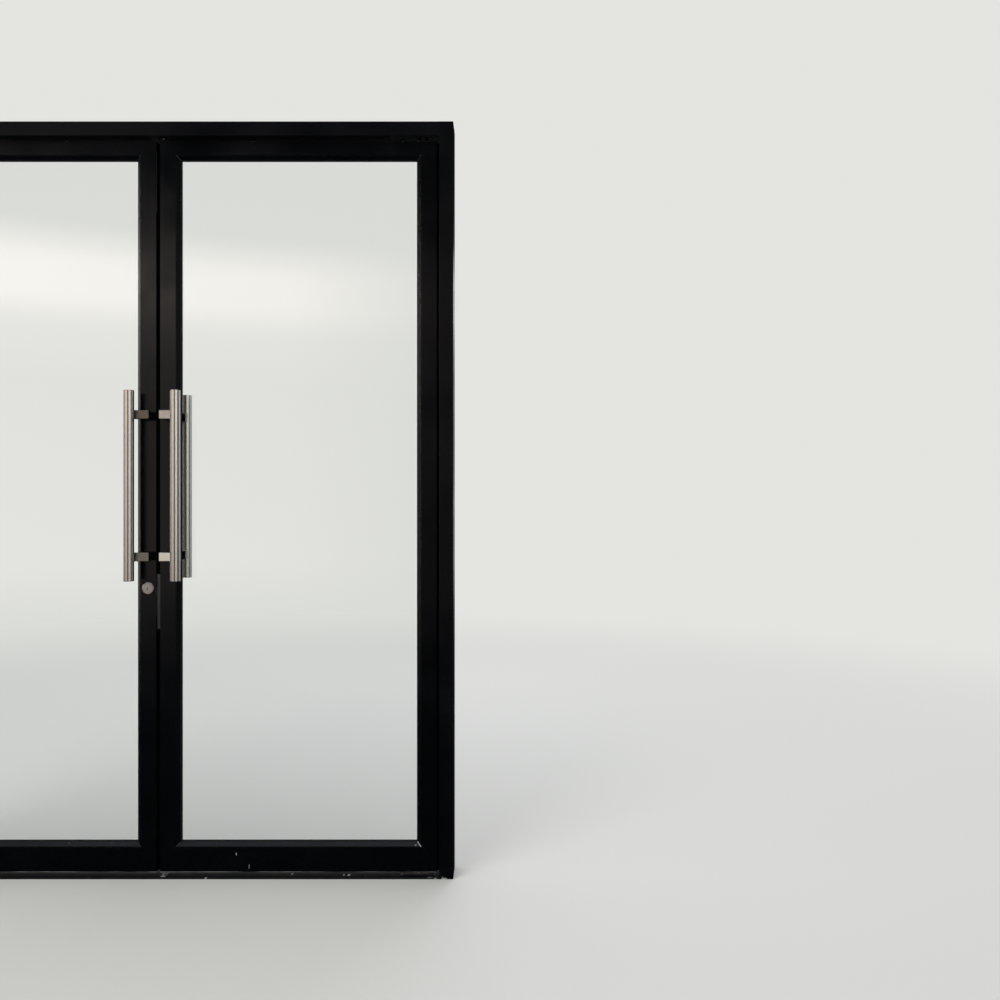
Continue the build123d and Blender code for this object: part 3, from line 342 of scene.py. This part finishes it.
satin_plate = drawn_metal("satin_stainless_plate", "#8f8d88", "#aeaca6", 0.36,
                          PLATE_GRAIN, "X", FINE_LINES)
dress(satin_plate, "pivot_plates", "floor_keep")
pan_head = turned_rings(np.array(HEAD_PROFILE) * (HEAD_RADIUS, HEAD_RISE), cross_recess)
plate_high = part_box("pivot_plates")[1]
keep_low, keep_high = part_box("floor_keep")
keep_x = (keep_low.x + keep_high.x) / 2
floor_heads = [facing(pan_head, (side * PIN_X + end * PLATE_SCREW_X, 0, PLATE_TOP), (0, 0, 1))
               for side in (-1, 1) for end in (-1, 1)]
floor_heads += [facing(pan_head * KEEP_SCREW_SHARE, (keep_x, y, keep_high.z), (0, 0, 1))
                for y in (-KEEP_SCREW_Y, KEEP_SCREW_Y)]
closed_shells("floor_screw_heads", floor_heads, zinc_steel, "frame")

# Head keep: a thin plate screwed up under the head, round the top bolt's slot. It takes the frame's
# black coat as painted shade, for the shade under the head, so that only its screws catch the light
# there.
dress(frame_coat, "head_keep")

# Leaves: stiles and rails of the same extrusion and coat as the frame. Feet and mops have rubbed the
# lower edge, and two knocks on the right leaf's bottom rail have taken the coat off in small chips.
LEAVES = (("left", -1), ("right", 1))
FLOOR_GAP = 0.011
EDGE_RUB = 0.0026
RUB_PATCH = 0.12
LEAF_FACE = -0.022
RAIL_CHIPS = [((0.250, LEAF_FACE, 0.069), (0.0013, 0.002, 0.0046), 1.0),
              ((0.291, LEAF_FACE, 0.029), (0.0016, 0.002, 0.0078), 0.4),
              ((-0.3615, LEAF_FACE, FLOOR_GAP), (0.0415, 0.003, 0.0024), 0.35),
              ((-0.4416, LEAF_FACE, FLOOR_GAP), (0.0020, 0.003, 0.0026), 0.6)]


def worn_rails(finish, place):
    """The leaves' chips, and a ragged rub along their lower edge where feet and mops go."""
    height = add_node(finish, "ShaderNodeSeparateXYZ", {"Vector": place}).outputs["Z"]
    rubbed = add_node(finish, "ShaderNodeMapRange",
                      {"Value": height, "From Min": FLOOR_GAP + EDGE_RUB,
                       "From Max": FLOOR_GAP + EDGE_RUB / 2, "To Max": 0.7})
    patches = add_node(finish, "ShaderNodeTexNoise",
                       {"Vector": place, "Scale": 1 / RUB_PATCH, "Detail": 6.0})
    ragged = add_node(finish, "ShaderNodeMapRange",
                      {"Value": patches, "From Min": 0.4, "From Max": 0.65, "To Min": 0.12})
    edge = add_node(finish, "ShaderNodeMath", [rubbed, ragged], operation="MULTIPLY")
    chips = chipped(RAIL_CHIPS)(finish, place)
    return add_node(finish, "ShaderNodeMath", [edge, chips], operation="MAXIMUM")


leaf_coat = powder_coat("black_powder_coated_leaf_aluminium", "#030508", "#05070b", 0.16, worn_rails)
for side, _ in LEAVES:
    dress(leaf_coat, f"{side}_hinge_stile", f"{side}_meeting_stile",
          f"{side}_top_rail", f"{side}_bottom_rail")

# Beads: hollow sloped strips of coated aluminium, sawn at 45 degrees and snapped in round the glass.
# Each mitre shows as a hair of bare metal, and one, by the right leaf's bottom pivot, stands open.
BEAD_REACH = 0.0156
BEAD_FRAME_MIDDLE = (0.4485, 1.1985)
BEAD_FRAME_HALF = (0.3925, 1.1065)
BEAD_CHIPS = [((-0.288, -0.017, 0.101), (0.0012, 0.006, 0.0016), 0.5),
              ((-0.153, -0.017, 0.102), (0.0012, 0.006, 0.0016), 0.5),
              ((0.823, -0.019, 0.0965), (0.0038, 0.006, 0.0024), 0.35)]
MITRE_HAIR = 0.0003
MITRE_BARE = 0.35
OPEN_MITRE = (0.841, LEAF_FACE, 0.092)
OPEN_MITRE_WIDTH = 0.0022
OPEN_MITRE_REACH = 0.0264


def bare_mitres(finish, place):
    """Bare along each mitre: where a point is as far in from the stile's side as from the rail's."""
    x, _, z = add_node(finish, "ShaderNodeSeparateXYZ", {"Vector": place}).outputs
    across = add_node(finish, "ShaderNodeMath", [x], operation="ABSOLUTE")
    inward = []
    for along, middle, half in zip((across, z), BEAD_FRAME_MIDDLE, BEAD_FRAME_HALF):
        offset = add_node(finish, "ShaderNodeMath", [along, middle], operation="SUBTRACT")
        offset = add_node(finish, "ShaderNodeMath", [offset], operation="ABSOLUTE")
        inward.append(add_node(finish, "ShaderNodeMath", [half, offset], operation="SUBTRACT"))
    apart = add_node(finish, "ShaderNodeMath", inward, operation="SUBTRACT")
    apart = add_node(finish, "ShaderNodeMath", [apart], operation="ABSOLUTE")
    hair = add_node(finish, "ShaderNodeMath", [apart, MITRE_HAIR], operation="LESS_THAN")
    hair = add_node(finish, "ShaderNodeMath", [hair, MITRE_BARE], operation="MULTIPLY")
    corner = add_node(finish, "ShaderNodeVectorMath", [place, OPEN_MITRE], operation="DISTANCE")
    near = add_node(finish, "ShaderNodeMath", [corner.outputs["Value"], OPEN_MITRE_REACH],
                    operation="LESS_THAN")
    gape = add_node(finish, "ShaderNodeMath", [apart, OPEN_MITRE_WIDTH], operation="LESS_THAN")
    gape = add_node(finish, "ShaderNodeMath", [near, gape], operation="MULTIPLY")
    line = add_node(finish, "ShaderNodeMath", [hair, gape], operation="MAXIMUM")
    depth = add_node(finish, "ShaderNodeMath", inward, operation="MAXIMUM")
    on_bead = add_node(finish, "ShaderNodeMath", [depth, BEAD_REACH], operation="LESS_THAN")
    line = add_node(finish, "ShaderNodeMath", [line, on_bead], operation="MULTIPLY")
    chips = chipped(BEAD_CHIPS)(finish, place)
    return add_node(finish, "ShaderNodeMath", [line, chips], operation="MAXIMUM")


bead_coat = powder_coat("black_powder_coated_bead_aluminium", "#030508", "#05070b", 0.28, bare_mitres)
for side, _ in LEAVES:
    dress(bead_coat, f"{side}_rail_beads", f"{side}_stile_beads")

# Pile seals: brushes of black polypropylene woven on a ribbon and slid into the stiles' edges and the
# top rails, in lengths between the plates. They close the gaps, which look quite black.
PILE_HALF_WIDTH = 0.0035
PILE_TIP_HALF = 0.0028
PILE_STEP = 0.004
PILE_TUFT = 0.00035
TUFT_WAVES = ((910, 0.0, 0.5), (2370, 1.3, 0.3))
PILE_FREE = 0.0005
HINGE_PILE_FREE = 0.0008
PILE_FIBRE = 0.0008
PILE_FIBRE_DEPTH = 0.0003
PLATE_MARGIN = 0.001
EDGE_FITTINGS = {"left": [(0.786, 0.962)], "right": [(0.031, 0.231), (0.829, 0.919), (2.127, 2.327)]}
MEETING_EDGE = 0.006
HINGE_EDGE = 0.891
JAMB_FACE = 0.9
TOP_PILE_RISE = 0.006
TOP_PILE_SPAN = (0.03, 0.74)
pile, pile_shader = new_finish("woven_polypropylene_pile", Roughness=0.95, Specular_IOR_Level=0.1)
pile_place = add_node(pile, "ShaderNodeTexCoord").outputs["Object"]
pile_fibres = add_node(pile, "ShaderNodeTexNoise",
                       {"Vector": pile_place, "Scale": 1 / PILE_FIBRE, "Detail": 3.0})
pile_tone = add_node(pile, "ShaderNodeValToRGB", {"Fac": pile_fibres},
                     stops=[(0.3, "#020202"), (0.8, "#0b0b0b")])
pile_bump = add_node(pile, "ShaderNodeBump",
                     {"Height": pile_fibres, "Strength": 0.8, "Distance": PILE_FIBRE_DEPTH})
set_inputs(pile_shader, {"Base Color": pile_tone, "Normal": pile_bump})


def pile_strip(edge_x, tip_x, bottom, top):
    """Rings up a brush: a rounded-off trapezium in X and Y.

    Its tip wavers with Z, as the sum of two sine waves 7 and 2.7 mm long, and stays short of tip_x.
    """
    z = np.linspace(bottom, top, max(3, int((top - bottom) / PILE_STEP)))
    rise = np.array([0.0, 0.0, 0.45, 0.85, 1.0, 1.0, 1.0, 0.85, 0.45])
    across = np.array([-1.0, 1.0, 0.95, 0.88, 0.6, 0.0, -0.6, -0.88, -0.95])
    waver = PILE_TUFT * sum((np.sin(z * wave + phase) - 1) * share for wave, phase, share in TUFT_WAVES)
    tip = np.sign(tip_x - edge_x) * waver[:, None] * (rise > 0.9)
    x = edge_x + (tip_x - edge_x) * rise[None, :] + tip
    half_width = PILE_HALF_WIDTH + (PILE_TIP_HALF - PILE_HALF_WIDTH) * rise
    y = across[None, :] * half_width + 0 * z[:, None]
    rings = np.stack([x, y, z[:, None] + 0 * y], -1)
    return rings if tip_x > edge_x else rings[:, ::-1]


for side, sign in LEAVES:
    low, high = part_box(f"{side}_meeting_stile")
    ends = [low.z]
    for bottom, top in EDGE_FITTINGS[side]:
        ends += [bottom - PLATE_MARGIN, top + PLATE_MARGIN]
    ends.append(high.z)
    brushes = [pile_strip(sign * MEETING_EDGE, sign * PILE_FREE, bottom, top)
               for bottom, top in zip(ends[::2], ends[1::2])]
    brushes.append(pile_strip(sign * HINGE_EDGE, sign * (JAMB_FACE - HINGE_PILE_FREE), low.z, high.z))
    upright = pile_strip(high.z, high.z + TOP_PILE_RISE, *sorted(sign * x for x in TOP_PILE_SPAN))
    brushes.append(upright[:, ::-1, ::-1])
    closed_shells(f"{side}_pile_seals", brushes, pile, f"{side}_leaf")

# Stile plugs: moulded nylon ends pushed into each stile's open ends, flush with the cut metal, with
# a bore in the two that the edge bolts' rods come out of.
PLUG_THICKNESS = 0.0018
PLUG_EASE = 0.0002
PLUG_EDGE = 0.0004
PLUG_CORNER_POWER = 9
STILE_HALF = 0.025
STILE_GAUGE = 0.0025
ROD_X = 0.0195
ROD_BORE_RADIUS = 0.0056
BETWEEN = ROUND + np.pi / len(ROUND)


def plug_outline(half_x, half_y, shrink):
    """A rounded rectangle as a superellipse: |x/a|^n + |y/b|^n = 1, with n large for tight corners."""
    c, s = np.cos(BETWEEN), np.sin(BETWEEN)
    power = 2 / PLUG_CORNER_POWER
    return np.stack([(half_x - shrink) * np.sign(c) * np.abs(c) ** power,
                     (half_y - shrink) * np.sign(s) * np.abs(s) ** power], -1)


def stile_plug(centre, half_x, half_y, end, inward, bore_x=None):
    """Rings of one plug, from its outer rim over its face to its middle, or to the bore's edge."""
    back = end + inward * PLUG_THICKNESS
    rows = [(plug_outline(half_x, half_y, 0), back),
            (plug_outline(half_x, half_y, 0), end + inward * PLUG_EDGE),
            (plug_outline(half_x, half_y, PLUG_EDGE), end)]
    if bore_x is not None:
        hole = np.stack([np.cos(BETWEEN), np.sin(BETWEEN)], -1) * ROD_BORE_RADIUS + [bore_x - centre, 0]
        rows += [(hole, end), (hole, back)]
    rings = np.stack([np.column_stack([outline, np.full(len(outline), z)]) for outline, z in rows])
    rings = rings + np.array([centre, 0, 0])
    return rings if inward < 0 else rings[:, ::-1]


for side, sign in LEAVES:
    plain, bored = [], []
    for part, middle in (("hinge_stile", HINGE_EDGE - STILE_HALF),
                         ("meeting_stile", MEETING_EDGE + STILE_HALF)):
        low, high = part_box(f"{side}_{part}")
        half_x = STILE_HALF - STILE_GAUGE - PLUG_EASE
        half_y = (high.y - low.y) / 2 - STILE_GAUGE - PLUG_EASE
        has_rods = side == "right" and part == "meeting_stile"
        for end, inward in ((low.z, 1), (high.z, -1)):
            plug = stile_plug(sign * middle, half_x, half_y, end, inward, ROD_X if has_rods else None)
            (bored if has_rods else plain).append(plug)
    closed_shells(f"{side}_stile_plugs", plain, black_nylon, f"{side}_leaf")
    if bored:
        closed_shells(f"{side}_bored_stile_plugs", bored, black_nylon, f"{side}_leaf",
                      ring_shaped=True)

# Corner blocks, arms, bearings and spindles: mill aluminium channel and machined steel, all hidden
# in the rails. The steel blocks are sawn and milled, then zinc plated; the spindles are turned.
MILLED_LINE = 0.0008
machined = drawn_metal("machined_zinc_plated_steel", "#8d9195", "#b3b7ba", 0.32,
                       MILLED_LINE, "X", DEEP_LINES)
for side, _ in LEAVES:
    dress(mill_aluminium, f"{side}_corner_blocks")
    dress(machined, f"{side}_arm", f"{side}_bearing", f"{side}_spindle")
    dress(zinc_steel, f"{side}_screws", f"{side}_pull_studs")

# Gaskets and setting blocks: extruded black EPDM rubber wedged between the beads and the glass.
# It is a deep matt black with a faint bloom and a fine grain.
RUBBER_GRAIN = 0.0007
RUBBER_GRAIN_DEPTH = 0.00005
RUBBER_BLOOM = 0.03
epdm, epdm_shader = new_finish("extruded_epdm_rubber", IOR=1.5)
epdm_place = add_node(epdm, "ShaderNodeTexCoord").outputs["Object"]
epdm_grain = add_node(epdm, "ShaderNodeTexNoise",
                      {"Vector": epdm_place, "Scale": 1 / RUBBER_GRAIN, "Detail": 3.0})
epdm_bloom = add_node(epdm, "ShaderNodeTexNoise",
                      {"Vector": epdm_place, "Scale": 1 / RUBBER_BLOOM, "Detail": 4.0})
epdm_tone = add_node(epdm, "ShaderNodeValToRGB", {"Fac": epdm_bloom},
                     stops=[(0.4, "#0e0e0e"), (0.8, "#1a1a19")])
epdm_matt = add_node(epdm, "ShaderNodeMapRange", {"Value": epdm_bloom, "To Min": 0.55, "To Max": 0.8})
epdm_bump = add_node(epdm, "ShaderNodeBump",
                     {"Height": epdm_grain, "Strength": 0.4, "Distance": RUBBER_GRAIN_DEPTH})
set_inputs(epdm_shader, {"Base Color": epdm_tone, "Roughness": epdm_matt, "Normal": epdm_bump})
dress(epdm, "left_gaskets", "right_gaskets", "left_setting_blocks", "right_setting_blocks")

# Glass: clear toughened float, 10 mm thick with ground edges. Its iron gives a faint green cast,
# and wiping has left very light smears that show only in what it reflects.
SMEAR_SIZE = 0.22
float_glass, glass_shader = new_finish("clear_toughened_glass", IOR=1.5, Transmission_Weight=1.0)
glass_place = add_node(float_glass, "ShaderNodeTexCoord").outputs["Object"]
glass_smear = add_node(float_glass, "ShaderNodeTexNoise",
                       {"Vector": glass_place, "Scale": 1 / SMEAR_SIZE, "Detail": 6.0,
                        "Distortion": 1.2})
glass_polish = add_node(float_glass, "ShaderNodeMapRange",
                        {"Value": glass_smear, "From Min": 0.5, "From Max": 0.75,
                         "To Min": 0.0, "To Max": 0.05})
set_inputs(glass_shader, {"Base Color": linear("#fcfefd"), "Roughness": glass_polish})
dress(float_glass, "left_glass", "right_glass")

# Pull handles: 32 mm stainless tube ground with a belt as it turned, so its hair-fine scratches run
# round it, drawn coarser here so that they show. They blur what it reflects up and down, and leave
# sharp light and dark streaks along it.
BELT_SCRATCH = 0.0009
BELT_SCRATCH_DEPTH = 0.000005
ROUND_THE_TUBE = 9.0


def belt_ground_tube(name, dark, light, roughness):
    """Stainless tube: rings of fine noise that change quickly along Z and hardly at all round it."""
    finish, shader = new_finish(name, Metallic=1.0, Anisotropic=0.8, Anisotropic_Rotation=0.25)
    place = add_node(finish, "ShaderNodeTexCoord").outputs["Object"]
    rings = add_node(finish, "ShaderNodeMapping",
                     {"Vector": place, "Scale": (ROUND_THE_TUBE, ROUND_THE_TUBE, 1 / BELT_SCRATCH)})
    scratch = add_node(finish, "ShaderNodeTexNoise", {"Vector": rings, "Scale": 1.0, "Detail": 5.0})
    tone = add_node(finish, "ShaderNodeValToRGB", {"Fac": scratch}, stops=[(0.3, dark), (0.7, light)])
    polish = add_node(finish, "ShaderNodeMapRange",
                      {"Value": scratch, "From Min": 0.3, "From Max": 0.7,
                       "To Min": roughness - 0.02, "To Max": roughness + 0.03})
    bump = add_node(finish, "ShaderNodeBump",
                    {"Height": scratch, "Strength": 0.15, "Distance": BELT_SCRATCH_DEPTH})
    turn = add_node(finish, "ShaderNodeTangent", direction_type="RADIAL", axis="Z")
    set_inputs(shader, {"Base Color": tone, "Roughness": polish, "Normal": bump, "Tangent": turn})
    return finish


tube_steel = belt_ground_tube("belt_ground_stainless_tube", "#d3cfca", "#e0ddd8", 0.2)
dress(tube_steel, "left_outside_pull", "right_outside_pull", "left_inside_pull", "right_inside_pull")

# Brackets: solid stainless bar, brushed along its length, welded to a short post on the stile.
# All four outside brackets are one steel, and their base colours carry painted shade: the left leaf's
# pair is slightly rougher and painted darker than the right's, and each upper bracket darker than the
# lower.
BRUSH_LINE = 0.0005
PULL_MIDDLE = 1.246
OUTSIDE_BRACKETS = {"right": [("brushed", "#d4d4cd", "#eceee9", 0.18),
                              ("painted_half_shade", "#aba8a4", "#bfbcb9", 0.2)],
                    "left": [("painted_shade", "#72736c", "#878880", 0.26),
                             ("painted_deep_shade", "#5b5853", "#6c6863", 0.28)]}


def dress_upper(finish, name, above):
    """Gives the faces of a CAD node that lie above a height a finish of their own."""
    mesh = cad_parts[name].data
    mesh.materials.append(finish)
    mesh.polygons.foreach_set("material_index", [int(face.center.z > above) for face in mesh.polygons])


# Each pair's first tone goes on both brackets, then its second, darker tone, which is painted shade, on
# the upper one.
for side, pair in OUTSIDE_BRACKETS.items():
    lower, upper = (drawn_metal(f"{worn}_stainless_bar", dark, light, roughness,
                                BRUSH_LINE, "X", FINE_LINES)
                    for worn, dark, light, roughness in pair)
    dress(lower, f"{side}_outside_brackets")
    dress_upper(upper, f"{side}_outside_brackets", PULL_MIDDLE)
inside_steel = drawn_metal("satin_stainless_bar", "#c6bdb2", "#dcd4ca", 0.25,
                           BRUSH_LINE, "X", FINE_LINES)
dress(inside_steel, "right_inside_brackets", "left_inside_brackets")

# Lock: a zinc-plated case behind a stainless front plate, screwed into the left leaf's edge, with a
# strike plate opposite. The bolt, cylinders, collars, key plug and thumbturn are brass, plated with
# nickel to a soft satin.
NICKEL_LINE = 0.0007
satin_nickel = drawn_metal("satin_nickel_plated_brass", "#adaaaa", "#c6c3c3", 0.33,
                           NICKEL_LINE, "Z", FINE_LINES)
dress(satin_plate, "lock_front", "lock_strike")
dress(zinc_steel, "lock_case")
dress(satin_nickel, "lock_bolt", "lock_cylinders", "cylinder_collars", "outside_plug", "inside_turn")

# Edge bolts: nickel-plated brass rods with a thumb piece each, behind stainless plates in the right
# leaf's edge. They slide in guides of bored nylon, pushed into the stile.
dress(satin_nickel, "top_edge_bolt", "bottom_edge_bolt")
dress(satin_plate, "edge_plates")
dress(black_nylon, "rod_guides")

# Threshold strips: flat bar as deep as the frame, coated black like it and stuck down on the floor, in
# two lengths that meet at the floor keep and are notched round the pivot plates. Between them and the
# leaves it stays dark, but for the light flecks of grit trodden into the coat.
STRIP_THICK = 0.0025
STRIP_EASE = 0.0012
STRIP_FIT = 0.002
STRIP_JOINT = 0.0005
STRIP_END = 0.00025
STRIP_INSET = 0.0002
GRIT = [((0.160, -0.045, 0.002), (0.0034, 0.0060, 0.002), 1.0),
        ((0.427, -0.014, 0.002), (0.0034, 0.0080, 0.002), 1.0),
        ((0.594, -0.022, 0.002), (0.0026, 0.0060, 0.002), 0.9),
        ((0.610, -0.022, 0.002), (0.0046, 0.0075, 0.002), 1.0),
        ((0.667, -0.037, 0.002), (0.0018, 0.0018, 0.002), 0.5),
        ((0.870, -0.042, 0.002), (0.0080, 0.0060, 0.002), 0.3),
        ((0.888, -0.047, 0.002), (0.0040, 0.0030, 0.002), 0.8),
        ((-0.212, -0.044, 0.002), (0.0016, 0.0016, 0.002), 0.5)]
strip_coat = powder_coat("black_powder_coated_threshold_strip", "#060709", "#0a0b0d", 0.5,
                         chipped(GRIT))
strip_edge = jamb_high.y - STRIP_INSET


def flat_bar(x_low, x_high, y_low, y_high):
    """Rings of a flat bar on the floor; where a side is the strip's own edge, its top is eased."""
    corners = np.array([(x_low, y_low), (x_high, y_low), (x_high, y_high), (x_low, y_high)])
    at_edge = np.abs(corners) >= strip_edge - 1e-6
    eased = np.where(at_edge, STRIP_EASE, 0) * [0, 1] * np.sign(corners)
    levels = [(0.0, 0.0), (STRIP_THICK - STRIP_EASE, 0.0), (STRIP_THICK, 1.0)]
    return np.stack([np.column_stack([corners - eased * inset, np.full(4, z)]) for z, inset in levels])


strips = []
for side, keep_end in ((1, keep_high.x + STRIP_JOINT), (-1, keep_low.x - STRIP_JOINT)):
    jamb_end = side * (clear_half - STRIP_END)
    plate_far = plate_high.x + STRIP_FIT
    plate_near = 2 * PIN_X - plate_far
    notch = plate_high.y + STRIP_FIT
    spans = [(keep_end, side * plate_near, -strip_edge, strip_edge),
             (side * plate_near, jamb_end, -strip_edge, -notch),
             (side * plate_near, jamb_end, notch, strip_edge),
             (side * plate_far, jamb_end, -notch, notch)]
    if side > 0:
        keep_start = keep_low.x - STRIP_JOINT
        spans += [(keep_start, keep_end, -strip_edge, keep_low.y - STRIP_FIT),
                  (keep_start, keep_end, keep_high.y + STRIP_FIT, strip_edge)]
    strips += [flat_bar(min(a, b), max(a, b), low, high) for a, b, low, high in spans]
closed_shells("threshold_strips", strips, strip_coat, "frame")

# Floor: one plain pale sheet under the object, which takes its shadow and fades into the backdrop.
# What is polished reflects it darker, and sees the ring of panels past its fade.
BACKDROP = "#e4e4e1"
FADE_START = 1.6
FADE_END = 7.0
FLOOR_REACH = 60.0
floor_paint, floor_shader = new_finish("plain_pale_floor", Roughness=0.85, IOR=1.3)
set_inputs(floor_shader, {"Base Color": linear("#dcdcd9")})
floor_place = add_node(floor_paint, "ShaderNodeTexCoord").outputs["Object"]
floor_far = add_node(floor_paint, "ShaderNodeVectorMath", [floor_place], operation="LENGTH")
floor_fade = add_node(floor_paint, "ShaderNodeMapRange",
                      {"Value": floor_far.outputs["Value"], "From Min": FADE_START,
                       "From Max": FADE_END}, interpolation_type="SMOOTHSTEP")
floor_ray = add_node(floor_paint, "ShaderNodeLightPath").outputs
floor_mirrored = add_node(floor_paint, "ShaderNodeMath", [floor_ray["Glossy Depth"], 0.5],
                          operation="GREATER_THAN")
floor_glow = add_node(floor_paint, "ShaderNodeEmission", {"Color": linear(BACKDROP)})
floor_dim = add_node(floor_paint, "ShaderNodeEmission", {"Color": linear("#1d1e20")})
floor_open = add_node(floor_paint, "ShaderNodeBsdfTransparent")
floor_near = add_node(floor_paint, "ShaderNodeMixShader", [floor_mirrored, floor_shader, floor_dim])
floor_past = add_node(floor_paint, "ShaderNodeMixShader", [floor_mirrored, floor_glow, floor_open])
floor_mix = add_node(floor_paint, "ShaderNodeMixShader", [floor_fade, floor_near, floor_past])
set_inputs(floor_paint.node_tree.nodes["Material Output"], {"Surface": floor_mix})
floor_mesh = bpy.data.meshes.new("floor")
floor_corners = [(-FLOOR_REACH, -FLOOR_REACH, 0), (FLOOR_REACH, -FLOOR_REACH, 0),
                 (FLOOR_REACH, FLOOR_REACH, 0), (-FLOOR_REACH, FLOOR_REACH, 0)]
floor_mesh.from_pydata(floor_corners, [], [(0, 1, 2, 3)])
floor_mesh.materials.append(floor_paint)
floor = bpy.data.objects.new("floor", floor_mesh)
bpy.context.scene.collection.objects.link(floor)

# Backdrop: one pale tone to the eye and through the glass. Polished metal and glass reflect a
# studio's ring of panels, lit and dark by the angle round the vertical, brightest just above eye
# height. It is dark above and below them, under a pale ceiling.
PANELS = [(0.0, "#b8aca5"), (0.035, "#ab9f98"), (0.06, "#c8bab1"), (0.10, "#d6c8be"),
          (0.15, "#fceee4"), (0.186, "#eadcd2"), (0.215, "#d9cbc1"), (0.235, "#6e645d"),
          (0.285, "#6a605a"), (0.31, "#f2ece6"), (0.36, "#fdf8f4"), (0.41, "#f0f0ec"),
          (0.435, "#707073"), (0.50, "#747579"), (0.535, "#bfc1c4"), (0.58, "#b4b8bd"),
          (0.625, "#eceeee"), (0.655, "#6c6d72"), (0.72, "#6a6a6c"), (0.76, "#d8d8d6"),
          (0.92, "#cfcec9"), (0.95, "#fbf9f5"), (0.975, "#f3efea"), (0.992, "#b8aca5"),
          (1.0, "#b8aca5")]
PANEL_LEVELS = [(0.0, "#181818"), (0.37, "#181818"), (0.415, "#303030"), (0.44, "#454545"),
                (0.467, "#9e9e9e"), (0.56, "#898989"), (0.585, "#aaaaaa"), (0.599, "#ffffff"),
                (0.615, "#ffffff"), (0.632, "#3c3c3c"), (0.655, "#121212"), (0.84, "#1b1b1b"),
                (0.94, "#acacac"), (1.0, "#b0b0b0")]
PANEL_STRENGTH = 3.2
world = bpy.data.worlds.new("studio")
bpy.context.scene.world = world
world.use_nodes = True
ray = add_node(world, "ShaderNodeLightPath").outputs
around = add_node(world, "ShaderNodeTexCoord").outputs["Generated"]
ring = add_node(world, "ShaderNodeTexGradient", {"Vector": around}, gradient_type="RADIAL")
panels = add_node(world, "ShaderNodeValToRGB", {"Fac": ring.outputs["Fac"]}, stops=PANELS)
level = add_node(world, "ShaderNodeSeparateXYZ", {"Vector": around}).outputs["Z"]
height_up = add_node(world, "ShaderNodeMapRange", {"Value": level, "From Min": -1.0})
band = add_node(world, "ShaderNodeValToRGB", {"Fac": height_up}, stops=PANEL_LEVELS)
strength = add_node(world, "ShaderNodeMath", [band, PANEL_STRENGTH], operation="MULTIPLY")
overhead = add_node(world, "ShaderNodeMapRange", {"Value": level, "From Min": 0.4, "From Max": 0.7})
mirror_tone = add_node(world, "ShaderNodeMix", {0: overhead, 6: panels, 7: linear("#d9e2ee")},
                       data_type="RGBA")
lit = add_node(world, "ShaderNodeBackground", {"Color": linear("#f6f7f8"), "Strength": 0.8})
mirrored = add_node(world, "ShaderNodeBackground",
                    {"Color": mirror_tone.outputs[2], "Strength": strength})
plain = add_node(world, "ShaderNodeBackground", {"Color": linear(BACKDROP), "Strength": 1.0})
reflected = add_node(world, "ShaderNodeMixShader", [ray["Is Glossy Ray"], lit, mirrored])
direct = add_node(world, "ShaderNodeMath", [ray["Is Camera Ray"], ray["Is Transmission Ray"]],
                  operation="MAXIMUM")
unmirrored = add_node(world, "ShaderNodeMath", [ray["Glossy Depth"], 0.5], operation="LESS_THAN")
seen = add_node(world, "ShaderNodeMath", [direct, unmirrored], operation="MULTIPLY")
whole = add_node(world, "ShaderNodeMixShader", [seen, reflected, plain])
set_inputs(world.node_tree.nodes["World Output"], {"Surface": whole})

# Lights: soft boxes over the door, in front of it and behind it. They light its colours and throw
# its shadow; neither the eye nor a reflection sees them.
SOFT_BOXES = [("front_box", (-1.4, -3.2, 4.2), (0, 0, 0.8), 2.4, 1.8, 70, "#fffaf5"),
              ("back_box", (1.2, 3.4, 3.8), (0, 0, 0.8), 3.0, 1.8, 60, "#f8faff")]
for name, at, target, width, height, power, colour in SOFT_BOXES:
    lamp = bpy.data.lights.new(name, "AREA")
    lamp.shape, lamp.size, lamp.size_y = "RECTANGLE", width, height
    lamp.energy, lamp.color = power, linear(colour)[:3]
    box = bpy.data.objects.new(name, lamp)
    box.location = at
    aim = np.array(target) - np.array(at)
    box.rotation_euler = (math.atan2(math.hypot(aim[0], aim[1]), -aim[2]), 0.0,
                          math.atan2(aim[1], aim[0]) - math.pi / 2)
    box.visible_camera = box.visible_glossy = box.visible_transmission = False
    bpy.context.scene.collection.objects.link(box)

# Camera: level, at eye height, square on to the leaves and to the right of their meeting line.
# Its lens is slightly wide, and nothing is out of focus.
EYE = (1.093, -2.952, 1.201)
SENSOR_MM = 36.0
LENS_MM = 32.994
lens = bpy.data.cameras.new("camera")
lens.sensor_width, lens.lens, lens.sensor_fit = SENSOR_MM, LENS_MM, "HORIZONTAL"
camera = bpy.data.objects.new("camera", lens)
camera.location = EYE
camera.rotation_euler = (math.pi / 2, 0.0, 0.0)
bpy.context.scene.collection.objects.link(camera)
bpy.context.scene.camera = camera
bpy.context.scene.view_settings.view_transform = "Standard"
